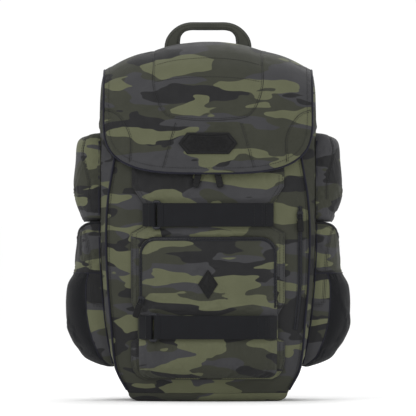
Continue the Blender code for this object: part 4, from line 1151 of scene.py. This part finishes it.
def make_bottle_pocket(side, sign):
    shift = (0.35, 0.6 * sign, 0.27)
    low_front = pocket_grid(sign, (0, MESH_START), BOTTLE_BOTTOM, MESH_TOP, 31, 81)
    mesh = pocket_grid(sign, (MESH_START, 180), BOTTLE_BOTTOM, MESH_TOP, 91, 81)
    band = pocket_grid(sign, (0, 180), MESH_TOP, None, 111, 41, 0)
    low_front = relief(low_front, slack=0.5 * MM, puff=0.8 * MM, reach=12 * MM, seed=51)
    mesh = relief(mesh, slack=1.2 * MM, puff=0.6 * MM, reach=20 * MM, pucker=0.9 * MM, seed=52, pressure=0.2)
    band = relief(band, slack=0.8 * MM, puff=0.8 * MM, reach=14 * MM, pucker=1.1 * MM, seed=53, pressure=0.3)
    piece(f"bottle_pocket_front_cloth_{side}", shell_part(low_front, 1.4 * MM), "camo",
          [f"bottle_pocket_front_{side}"], shift=shift)
    piece(f"bottle_pocket_mesh_cloth_{side}", shell_part(mesh, 1.2 * MM), "stretch_mesh",
          [f"bottle_pocket_mesh_{side}"])
    piece(f"bottle_pocket_band_cloth_{side}", shell_part(band, 1.4 * MM), "camo",
          [f"bottle_pocket_band_{side}"], shift=shift)
    seam, mouth, belt = mesh[::sign][0], band[:, -1], band[:, 0]
    cords = [tube_part(line, 0.8 * MM) for line in (seam[3:], belt)]
    for y in (-46.4 * MM, 66.4 * MM):
        cords.append(tube_part(wall_seam(sign, y, np.linspace(52 * MM, mouth_z(y) - 2 * MM, 60)), 1.2 * MM))
    piece(f"bottle_pocket_seams_{side}", cords, "piping")
    piece(f"bottle_pocket_elastic_{side}", tube_part(mouth, 2.0 * MM, sides=12, squash=0.8), "webbing")
    skin = Skin(low_front, mesh, band)
    route = ((179, 246), (173.3, 236), (168.8, 217), (166, 191), (162.3, 137.5))
    line = smooth_line(mm(*[(sign * x, -42, z) for x, z in route]), 12)
    shelf = mm((sign * 162.3, -42, 136), (sign * 147, -42, 135))
    shadow_lined_seams(skin, [line, shelf], f"bottle_pocket_panel_{side}")
    rows = [skin.lay(edge + [0, 0, rise * MM], unit((edge - [0, POCKET_MIDDLE_Y, 0]) * [1, 1, 0]), STITCH_LIFT)
            for edge, rise in ((mouth, -5), (belt, 3))]
    stitched(f"bottle_pocket_hem_stitching_{side}", rows)


def make_upper_pocket(side, sign):
    u, v = unit_grid(111, 91)
    z = UPPER_BOTTOM + (UPPER_TOP - UPPER_BOTTOM) * v
    wall = side_half(z) + 1.5 * GAP
    half_depth = rounded_half(z, UPPER_HALF_DEPTH, UPPER_BOTTOM, UPPER_TOP, 14 * MM, 20 * MM)
    out, along = section(180 * u, upper_pocket_half(z) - wall, half_depth)
    grid = np.stack([sign * (wall + tucked(out)), along + UPPER_POCKET_Y, z], -1)
    grid = grid if sign > 0 else grid[::-1]
    route = ((172, 372), (176, 351), (171, 325), (167, 308), (167, 284))
    line = smooth_line(mm(*[(sign * x, -44, z) for x, z in route]), 12)
    laid = Skin(grid).lay(line, FORWARD)[0]
    grid = relief(grid, [laid], puff=1.2 * MM, reach=16 * MM, slack=1.0 * MM, seed=61 + sign, pressure=0.6)
    made = piece(f"upper_pocket_cloth_{side}", shell_part(grid, 1.6 * MM), "camo",
                 [f"upper_side_pocket_{side}"], shift=(0.15, 0.8 * sign, 0.36))
    shadow_lined_seams(Skin(grid), [line], f"upper_pocket_{side}")
    sewn = [wall_seam(sign, y, np.linspace(262 * MM, 366 * MM, 50)) for y in (-48 * MM, 54 * MM)]
    piece(f"upper_pocket_seams_{side}", [tube_part(line, 1.2 * MM) for line in sewn], "piping")


# ---------------------------------------------------------------- ring straps
class Strap:
    """A strap sewn down at the right, round a ring at the left and folded back on itself.

    Its routes are (x, forward) points, where forward is -y at the strap's middle height.
    """

    def __init__(self, name, middle, half, ring_x, level):
        self.name, self.middle, self.half, self.level = name, middle, half, level
        rest = 5 * GAP + WEBBING + BAR_RADIUS
        self.bars = [self.over(ring_x + side * RING_BAR, rest) for side in (-1, 1)]

    def over(self, x, above):
        """The route point at x, this far above what lies under the strap's whole width."""
        z = self.middle + np.arange(-2, 3)[:, None] * STRAP_WIDTH / 4
        near = x + np.array([-1.5, 0, 1.5]) * MM
        surface = self.level(near + 0 * z, z + 0 * near).max()
        return np.array([x, above + surface - front(x, self.middle, 0)[1]])

    def place(self, route, v):
        """Route points at share v of the strap's width."""
        z = self.middle + (v - 0.5) * STRAP_WIDTH
        lean = front(route[..., 0], z, 0)[..., 1] - front(route[..., 0], self.middle, 0)[..., 1]
        return np.stack(np.broadcast_arrays(route[..., 0], lean - route[..., 1], z), -1)

    def wrap(self, bar, start, end):
        """Part of a turn of webbing round a bar, with angles in degrees from +X."""
        a = np.radians(np.linspace(start, end, 13))
        return bar + np.column_stack([np.cos(a), np.sin(a)]) * (BAR_RADIUS + 2 * GAP + WEBBING / 2)

    def webbing(self, part, route, body="pack_body"):
        route = np.array(route, float)
        ahead = unit(np.gradient(route, axis=0))
        out = np.column_stack([-ahead[:, 1], ahead[:, 0]])
        v = np.linspace(0, 1, 13)
        grid = self.place((route + out * WEBBING / 2)[:, None], v[None])
        normal = np.stack([out[:, 0], -out[:, 1], 0 * out[:, 0]], -1)[:, None] + 0 * grid
        ripple = folds(grid, 30 * MM, 71) * 0.15 * MM
        grid = grid + normal * np.minimum(ripple, 0)[..., None]
        grid, normal = facing(grid, normal)
        name = f"{self.name}_{part}"
        piece(name + "_webbing", shell_part(grid, WEBBING, normal), "webbing", [name], body)


def make_strap(name, middle, half, ring_x, level):
    strap = Strap(name, middle, half, ring_x, level)
    low = 3.5 * GAP + WEBBING / 2
    left, right = strap.bars
    centre, reach = (half + right[0]) / 2, (half - right[0]) / 2
    places = centre + reach * np.cos(np.pi * np.arange(18) / 18)
    under = smooth_line([strap.over(x, low) for x in places], 4)
    top = strap.wrap(right, 90, 90)[0][1]
    fold_x = right[0] + 5 * MM
    under = np.vstack([under, strap.wrap(right, -90, -270), [(fold_x, top)]])
    strap.webbing("under", under)
    end = half - 12 * MM
    lie = 4.5 * GAP + 1.5 * WEBBING
    rest = [strap.over(x, lie) for x in places[::-1] if fold_x + 9 * MM < x < end - 1 * MM]
    start = np.array([fold_x + GAP, top])
    slope = (1 - 0.3) * np.array([fold_x + 4 * MM, top]) + 0.3 * rest[0]
    flap = smooth_line([start, slope, *rest, strap.over(end, lie)], 4)
    flap[-4:, 1] += np.linspace(0, 0.5, 4) * MM
    strap.webbing("flap", flap, f"{name}_flap")
    seam = [strap.over(-half + i / 4 * (left[0] + half), low) for i in range(4)]
    tab_end = [(left[0] - 6 * MM, strap.wrap(left, 90, 90)[0][1])]
    strap.webbing("tab", np.vstack([seam, strap.wrap(left, -90, 90), tab_end]))

    hem = strap_row(strap, flap, WEBBING / 2, [end - 3 * MM, end - 14 * MM])
    stitched(f"{name}_flap_stitching", hem, f"{name}_flap")
    sewn = strap_row(strap, under[:60], WEBBING / 2, [half - 2.5 * MM, half - 9 * MM])
    stitched(f"{name}_end_stitching", sewn)
    make_ring(strap)


def strap_row(strap, route, lift, places):
    """Rows of stitches across a strap at these x."""
    order = np.argsort(route[:, 0])
    rows = []
    for x in places:
        forward = np.interp(x, route[order, 0], route[order, 1]) + lift + 0.05 * MM
        v = np.linspace(0.06, 0.94, 12)
        rows.append((strap.place(np.repeat([[x, forward]], 12, 0), v), FORWARD))
    return rows


def make_ring(strap):
    """A cast ring: two upright bars, thicker and rounder at its ends above and below the strap."""
    left, right = strap.bars
    centre = strap.place((left + right) / 2, 0.5)
    across = unit(strap.place(right, 0.5) - strap.place(left, 0.5))
    up = unit(strap.place(right, 1.0) - strap.place(right, 0.0))
    half = np.linalg.norm(right - left) / 2
    tall, corner = STRAP_WIDTH / 2 + 2.4 * MM, 3.2 * MM
    t = np.linspace(0, np.pi / 2, 7)
    quarter = np.column_stack([half - corner + corner * np.cos(t), tall - corner + corner * np.sin(t)])
    bars = np.column_stack([np.full(5, half), np.linspace(-(tall - corner), tall - corner, 5)])
    outline = np.vstack([bars[1:-1], quarter, (quarter * [-1, 1])[::-1], bars[1:-1][::-1] * [-1, 1],
                         -quarter, (quarter * [1, -1])[::-1]])
    end = ramp(np.abs(outline[:, 1]), tall - 5 * MM, tall - 1 * MM)
    line = centre + outline[:, :1] * across + outline[:, 1:] * up
    out = np.cross(across, up)
    out = out if out[1] < 0 else -out
    ring = tube_part(line, BAR_RADIUS + 0.75 * MM * end, sides=14, up=out, closed=True)
    piece(f"{strap.name}_ring_frame", ring, "hardware", [f"{strap.name}_ring"])


# ---------------------------------------------------------------- sliders and pulls
def rounded_ring(centre, a, b, half_a, half_b, power=4.0, count=20):
    """A ring of points round a rounded rectangle with half axes along a and b."""
    t = np.linspace(0, 2 * np.pi, count, endpoint=False)
    x = np.sign(np.cos(t)) * np.abs(np.cos(t))**(2 / power) * half_a
    y = np.sign(np.sin(t)) * np.abs(np.sin(t))**(2 / power) * half_b
    return centre + x[:, None] * a + y[:, None] * b


def bar_part(places, along, a, b, origin):
    """A moulded bar along a direction: (distance, half width, half thickness) in millimetres."""
    rings = [rounded_ring(origin + along * d * MM, a, b, w * MM, t * MM) for d, w, t in places]
    return loft_part(rings)


def make_pull(name, body, lean, tip, length):
    """A moulded grip on a cord loop that passes through the slider's bail."""
    joint = next(j for j in frame["joints"] if j["child"] == body)
    pivot = np.array(joint["pos_m"])
    turned = Matrix.Rotation(math.radians(lean), 3, "Y") @ Matrix.Rotation(math.radians(-tip), 3, "X")
    down, side, face = (np.array(turned @ Vector(v)) for v in ((0, 0, -1), (1, 0, 0), (0, -1, 0)))
    end = length / MM
    body_places = [(7.0, 2.6, 0.7), (7.3, 3.2, 1.0), (8.8, 4.4, 1.4)]
    for k in range(5):
        at = 10 + k * (end - 13) / 5
        body_places += [(at, 4.6, 1.6), (at + 0.5, 4.5, 1.25), (at + 1.1, 4.5, 1.25), (at + 1.6, 4.6, 1.6)]
    body_places += [(end - 1.6, 4.5, 1.5), (end - 0.5, 3.6, 1.2), (end - 0.1, 2.6, 0.7)]
    grip = bar_part(body_places, down, side, face, pivot)
    t = np.linspace(0, np.pi, 13)
    loop = [pivot + side * 2.3 * MM * np.cos(a) - down * 0.2 * MM * np.sin(a) for a in t]
    loop = [pivot + down * 8 * MM + side * 2.6 * MM, pivot + down * 3 * MM + side * 2.5 * MM, *loop,
            pivot + down * 3 * MM - side * 2.5 * MM, pivot + down * 8 * MM - side * 2.6 * MM]
    piece(f"{body}_grip", grip, "rubber", [name], body)
    piece(f"{body}_loop", tube_part(smooth_line(loop, 3), 0.75 * MM), "webbing", body=body)


def refine_hardware():
    """Softer edges on the moulded parts that keep their frame's shape."""
    for name, node in frame["nodes"].items():
        if any(word in name for word in ("slider", "ladder_lock", "buckle")):
            weld = node.modifiers.new("weld", "WELD")
            weld.merge_threshold = 0.02 * MM
            soft = node.modifiers.new("edges", "BEVEL")
            soft.width, soft.segments, soft.limit_method = 0.35 * MM, 2, "ANGLE"
            soft.angle_limit = math.radians(35)
            node.data.shade_smooth()


# ---------------------------------------------------------------- handle and yoke
def make_handle():
    low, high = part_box("grab_handle")
    middle_y, base = (low.y + high.y) / 2, 500.5 * MM
    half = [(-51, -5.2, 10.4), (-50.8, 4, 10.2), (-49, 12, 9), (-44.5, 20.5, 6.8), (-36.5, 27.3, 5.3),
            (-26, 30.3, 5), (-12, 30.5, 5), (0, 30.5, 5)]
    whole = half + [(-x, z, w) for x, z, w in reversed(half[:-1])]
    line = smooth_line(whole, 8)
    centre = np.column_stack([line[:, 0], np.full(len(line), middle_y / MM), base / MM + line[:, 1]]) * MM
    ahead = unit(np.gradient(centre, axis=0))
    across = unit(np.cross(ahead, (0, 1, 0)))
    bulk = 3.4 * MM + 0.25 * MM * folds(centre, 9 * MM, 81)
    rings = [rounded_ring(c, s, BACKWARD, w * MM, t, 3.4, 28)
             for c, s, w, t in zip(centre, across, line[:, 2], bulk)]
    made = piece("handle_padded", loft_part(rings), "camo_dark", ["grab_handle"], "grab_handle")
    edges, rows = [], []
    for side in (-1, 1):
        edge = centre + across * (side * line[:, 2:] * MM)
        edges.append(tube_part(edge[2:-2], 0.8 * MM))
        for face in (FORWARD, BACKWARD):
            inner = centre + across * (side * (line[:, 2:] - 3.2) * MM) + face * (3.35 * MM)
            rows.append((inner[3:-3], face))
    piece("handle_edge_binding", edges, "piping", body="grab_handle")
    stitched("handle_stitching", rows, "grab_handle")


def make_yoke():
    section_yz = smooth_line(mm((74.4, 487), (74.3, 495), (74.4, 503.4), (80, 503.4), (87.5, 500), (93.5, 493.5),
                                (96.4, 487)), 6)
    across = np.linspace(-1, 1, 121) * 148.5 * MM
    rings = []
    for x in across:
        ring = np.column_stack([np.full(len(section_yz), x), section_yz[:, 0] - 0.13 * crown(x),
                                section_yz[:, 1] - crown(x)])
        middle = ring.mean(0)
        end = 1 - 0.3 * ramp(abs(x), 140 * MM, 148.5 * MM)
        rings.append(middle + (ring - middle) * end * (1 + 0.02 * noise.noise(Vector((x * 60, 3, 5)))))
    made = piece("top_yoke_roll", loft_part(rings), "camo", ["top_yoke"], shift=(0.5, 0.3, 0.6))
    row = np.array(rings)[3:-3, 20] + [0, 0.2 * MM, 0.3 * MM]
    stitched("top_yoke_stitching", [(row, unit(np.array([0, 0.6, 0.8])))])


# ---------------------------------------------------------------- back and shoulder straps
BACK_CHANNELS = (95, 215, 335)


def make_back():
    low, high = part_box("back_panel")
    u, v = unit_grid(151, 201, -1)
    top = high.z - 38 * MM * u**2
    z = low.z + v * (top - low.z)
    half = side_half(z) - 2.2 * MM
    x = u * half
    border = np.minimum(np.minimum(half - np.abs(x), top - z), z - low.z)
    middle = np.abs(x)
    rising = [np.abs(z - h * MM - 0.12 * middle) for h in BACK_CHANNELS]
    channels = np.minimum.reduce([middle / 0.9] + rising)
    depth = 5.5 * MM * np.exp(-(channels / (6 * MM))**2)
    pods = 0.8 * MM * folds(np.stack([x, 0 * x, z], -1), 60 * MM, 91)
    y = (87 * MM + 10 * MM * swell(border, 14 * MM) - depth * swell(border, 18 * MM)
         + pods * swell(border, 30 * MM))
    grid = np.stack([x, np.minimum(y, high.y), z], -1)[::-1]
    made = piece("back_padding", shell_part(grid, 1.6 * MM), "spacer_mesh", ["back_panel"])
    outline = np.array([grid[i, j] for i, j in edge_loop(151, 201)])
    outline = resample(np.vstack([outline, outline[:1]]), 4 * MM)[:-1]
    outline[:, 1] = REAR_Y + 2.2 * MM
    piece("back_edge_binding", tube_part(outline, 2.5 * MM, sides=12, closed=True), "piping")
    skin = Skin(grid)
    rows = []
    for h in BACK_CHANNELS:
        x = np.linspace(-120, 120, 80) * MM
        line = np.column_stack([x, 0 * x + 0.1, h * MM + 0.12 * np.abs(x)])
        rows.append(skin.lay(line, BACKWARD, STITCH_LIFT))
    stitched("back_stitching", rows)


def inner_panel(node, inset, fall, soft):
    """A sheet over a CAD sheet: inset from the sides, its top falling to the corners, softly waved."""
    low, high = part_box(node)
    u, v = unit_grid(61, 61, -1)
    z = low.z + v * (high.z - fall * u**2 - low.z)
    x = u * (side_half(z) - inset)
    y = low.y + 0.2 * MM + soft * (1 + folds(np.stack([x, 0 * x, z], -1), 50 * MM, 95))
    return np.stack([x, y, z], -1)


def make_inner_panels():
    stiff = inner_panel("frame_sheet", 12 * MM, 30 * MM, 0)
    piece("frame_sheet_panel", shell_part(stiff, 1.2 * MM), "plastic_sheet", ["frame_sheet"])
    soft = inner_panel("inner_sleeve", 14 * MM, 0, 0.8 * MM)
    sleeve = piece("inner_sleeve_cloth", shell_part(soft, 1.2 * MM), "lining", ["inner_sleeve"])
    piece("inner_sleeve_binding", tube_part(soft[:, -1], 1.4 * MM), "piping")


PAD_ROUTE = [(46, 107.5, 463), (50, 122, 443), (62, 141, 395), (80, 150, 330), (98, 145, 260), (108, 128, 195),
             (112, 118, 166)]
PAD_WIDTHS = [(0, 56), (40, 64), (70, 60), (100, 40)]
PAD_THICKNESS = 12 * MM


def strap_frame(route):
    """Across and outward directions of a band along a route, kept level across."""
    ahead = unit(np.gradient(route, axis=0))
    across = unit(np.cross(ahead, (0, 1, 0)))
    return across, np.cross(across, ahead)


def make_shoulder_pad(side, sign):
    route = resample(smooth_line([(sign * x, y, z) for x, y, z in PAD_ROUTE], 16), 3) * MM
    across, out = strap_frame(route)
    share = np.linspace(0, 100, len(route)) * MM
    width = table(PAD_WIDTHS)(share)
    middle = route - out * PAD_THICKNESS / 2
    round_end = np.sqrt(np.clip(1 - (1 - np.minimum(np.arange(len(route))[::-1] / 7, 1))**2, 0.12, 1))
    bulk = PAD_THICKNESS / 2 * (0.93 + 0.07 * folds(route, 40 * MM, 101)) * (0.5 + 0.5 * round_end)
    half = width / 2 * (0.82 + 0.18 * round_end)
    rings = [rounded_ring(c, s, o, w, t, 3.0, 40) for c, s, o, w, t in zip(middle, across, out, half, bulk)]
    made = piece(f"shoulder_pad_foam_{side}", loft_part(rings), "spacer_mesh", [f"shoulder_pad_{side}"])
    places = np.linspace(-0.9, 0.9, 25)
    rise = (1 - np.abs(places)**3)**(1 / 3)
    grid = (middle[:, None] + across[:, None] * (places[None, :, None] * half[:, None, None])
            + out[:, None] * (rise[None, :, None] * bulk[:, None, None] + 0.3 * MM))[2:-2]
    grid, _ = facing(grid, np.repeat(out[2:-2, None], 25, 1))
    grid = relief(grid, puff=0.3 * MM, slack=0.5 * MM, seed=103)
    piece(f"shoulder_pad_cover_{side}", shell_part(grid, 1.0 * MM), "camo", shift=(0.2 * sign, 0.9, 0.5))
    skin = Skin(grid)
    edges, rows = [], []
    for hand in (-1, 1):
        edge = middle + across * (hand * half)[:, None]
        edges.append(tube_part(edge, 1.7 * MM))
        line = middle + across * (hand * (half * 0.8))[:, None] + out * bulk[:, None]
        rows.append(skin.lay(line[3:-3], out[3:-3], STITCH_LIFT))
    piece(f"shoulder_pad_binding_{side}", edges, "piping")
    line, up = skin.lay((middle + out * bulk[:, None])[2:-2], out[2:-2], 0.2 * MM)
    piece(f"shoulder_pad_webbing_{side}", ribbon_part(line, up, 25 * MM, 1.4 * MM), "webbing")
    for k in range(6, len(line) - 4, 12):
        bar = [line[k] + across[k + 2] * t * MM + up[k] * 1.6 * MM for t in np.linspace(-11, 11, 8)]
        rows.append((np.array(bar), up[k]))
    stitched(f"shoulder_pad_stitching_{side}", rows)
    make_pad_end(side, middle[:9], across[:9], out[:9], half[:9], bulk[:9])


def make_pad_end(side, middle, across, out, half, bulk):
    """The dark canvas end by which a shoulder strap is sewn to the back, with a crossed box of stitches."""
    places = np.linspace(-1.04, 1.04, 27)
    rise = np.clip(1.12 - np.abs(places)**6, 0, 1)
    grid = (middle[:, None] + across[:, None] * (places[None, :, None] * half[:, None, None])
            + out[:, None] * (rise[None, :, None] * bulk[:, None, None] + 1.5 * MM))
    grid, normal = facing(grid, np.repeat(out[:, None], 27, 1))
    piece(f"shoulder_pad_end_{side}", shell_part(grid, 1.4 * MM, normal), "camo_dark")
    top = middle + out * (bulk + 1.6 * MM)[:, None]
    a, b, c, d = (top[k] + across[k] * hand * half[k] * 0.75
                  for k, hand in ((1, -1), (1, 1), (7, 1), (7, -1)))
    rows = [(resample(ends, 2 * MM), out[4]) for ends in ([a, b], [b, c], [c, d], [d, a], [a, c], [b, d])]
    stitched(f"shoulder_pad_end_stitching_{side}", rows)


def band(name, points, width, nodes=(), body="pack_body"):
    """A flat band of webbing along a smooth route in millimetres, its rear face on the route."""
    route = resample(smooth_line(points, 12), 2.5) * MM
    _, out = strap_frame(route)
    piece(name, ribbon_part(route - out * WEBBING, out, width, WEBBING), "webbing", nodes, body)
    return route


def make_shoulder_strap(side, sign):
    make_shoulder_pad(side, sign)
    low = [(sign * x, y, z) for x, y, z in ((112.6, 108.8, 146), (115, 107.5, 110), (118.5, 103, 56))]
    band(f"lower_strap_band_{side}", low, 25 * MM, [f"lower_webbing_{side}"])
    tail = [(sign * x, y, z) for x, y, z in ((112.6, 116.6, 146), (112.2, 117.6, 120), (111.8, 118, 92))]
    body = f"strap_tail_{side}"
    route = band(f"strap_tail_band_{side}", tail, 25 * MM, [body], body)
    along = np.linspace(-11, 11, 10)[:, None] * mm(1, 0, 0)
    rows = [(route[k] + along + BACKWARD * STITCH_LIFT, BACKWARD) for k in (-2, -6)]
    stitched(f"strap_tail_stitching_{side}", rows, body)
    make_anchor(side, sign)
    drop = [(sign * 74, 152.4, z) for z in (338, 315, 285)]
    band(f"chest_strap_band_{side}", drop, 20 * MM, [f"sternum_strap_{side}"], f"sternum_{side}")
    keeper = [(sign * x, y, 342) for x, y in ((55, 150.6), (58, 154.3), (74, 154.6), (90, 154.3), (93, 150.6))]
    band(f"chest_strap_keeper_{side}", keeper, 10 * MM)


def make_anchor(side, sign):
    """The sewn triangle of folded cloth that anchors the lower webbing."""
    corners = np.array([(96, 28), (128, 34), (133, 52), (128, 62), (105, 62)], float)
    corners = resample(np.vstack([corners, corners[:1]]), 3)[:-1] * [sign, 1]
    middle = corners.mean(0)
    rings = []
    for scale, y in ((0.95, 98.3), (1, 98.8), (1, 100), (0.95, 100.5), (0.3, 100.6)):
        shape = middle + (corners - middle) * scale
        rings.append(np.column_stack([shape[:, 0], np.full(len(shape), y), shape[:, 1]]) * MM)
    piece(f"anchor_tab_cloth_{side}", loft_part(rings), "camo_dark", [f"anchor_tab_{side}"])
    shape = middle + (corners - middle) * 0.84
    line = np.column_stack([shape[:, 0], np.full(len(shape), 100.6), shape[:, 1]])
    stitched(f"anchor_tab_stitching_{side}", [(np.vstack([line, line[:1]]) * MM, BACKWARD)])


# ---------------------------------------------------------------- floor, light and camera
LAMPS = [("key", (-1.3, -2.2, 2.2), 1.2, 22), ("fill", (1.8, -1.8, 0.9), 1.6, 5),
         ("back", (0.6, 2.4, 2.0), 1.6, 18)]


def make_stage():
    bpy.ops.mesh.primitive_circle_add(vertices=96, radius=90, fill_type="NGON", location=(0, 0, 0))
    floor = bpy.context.object
    floor.name = "floor"
    floor.data.materials.append(Shader("floor", 0.9).finish((0.98, 0.98, 0.98)))
    world = bpy.data.worlds.new("studio")
    world.use_nodes = True
    colour, strength = world.node_tree.nodes["Background"].inputs[:2]
    colour.default_value, strength.default_value = (1, 1, 1, 1), 1.03
    bpy.context.scene.world = world
    bpy.context.scene.view_settings.view_transform = "Standard"
    aim = Vector((0, 0, 0.27))
    for name, place, size, power in LAMPS:
        lamp = bpy.data.lights.new(name, "AREA")
        lamp.size, lamp.energy = size, power
        holder = bpy.data.objects.new(name, lamp)
        holder.location = place
        holder.rotation_euler = (aim - Vector(place)).to_track_quat("-Z", "Y").to_euler()
        holder.visible_camera = False
        bpy.context.scene.collection.objects.link(holder)


def make_camera():
    """A long lens from the front, level with the middle of the pack."""
    lens, sensor, width, height = 600, 36, 0.5824, 0.2716
    data = bpy.data.cameras.new("camera")
    data.lens, data.sensor_width = lens, sensor
    data.clip_end = 100
    camera = bpy.data.objects.new("camera", data)
    camera.location = (0, -0.1 - width * lens / sensor, height)
    camera.rotation_euler = (math.pi / 2, 0, 0)
    bpy.context.scene.collection.objects.link(camera)
    bpy.context.scene.camera = camera


SIDES = (("left", -1), ("right", 1))


def main():
    make_camera()
    make_stage()
    lid = make_lid()
    make_badge(lid)
    panel = make_front_panel()
    for side, sign in SIDES:
        make_gusset(side, sign)
    make_base()
    for side, sign in SIDES:
        make_piping(panel, side, sign)
    make_main_zip()
    make_organiser()
    pocket = make_front_pocket()
    make_front_zips(pocket, panel)
    make_emblem(pocket)
    for side, sign in SIDES:
        make_bottle_pocket(side, sign)
        make_upper_pocket(side, sign)
    make_strap("upper_strap", UPPER_STRAP_Z, 90.7 * MM, -72 * MM, organiser_level)
    make_strap("lower_strap", LOWER_STRAP_Z, 96 * MM, -76.5 * MM, pocket_level)
    for side, sign in SIDES:
        make_pull(f"main_pull_{side}", f"main_pull_{side}", -sign * 13, 9, 28 * MM)
    make_pull("pocket_pull", "pocket_pull", 18, 5, 26 * MM)
    make_pull("side_zip_pull", "side_zip_pull", -3, 0, 24 * MM)
    make_handle()
    make_yoke()
    make_hinge_strip()
    make_back()
    make_inner_panels()
    for side, sign in SIDES:
        make_shoulder_strap(side, sign)
    refine_hardware()


for name, node in frame["nodes"].items():
    slots = [row["material_slot"] for row in frame["record"]["subparts"] if row["node"] == name]
    node.data.materials.clear()
    node.data.materials.append(FINISHES[slots[0]])
main()
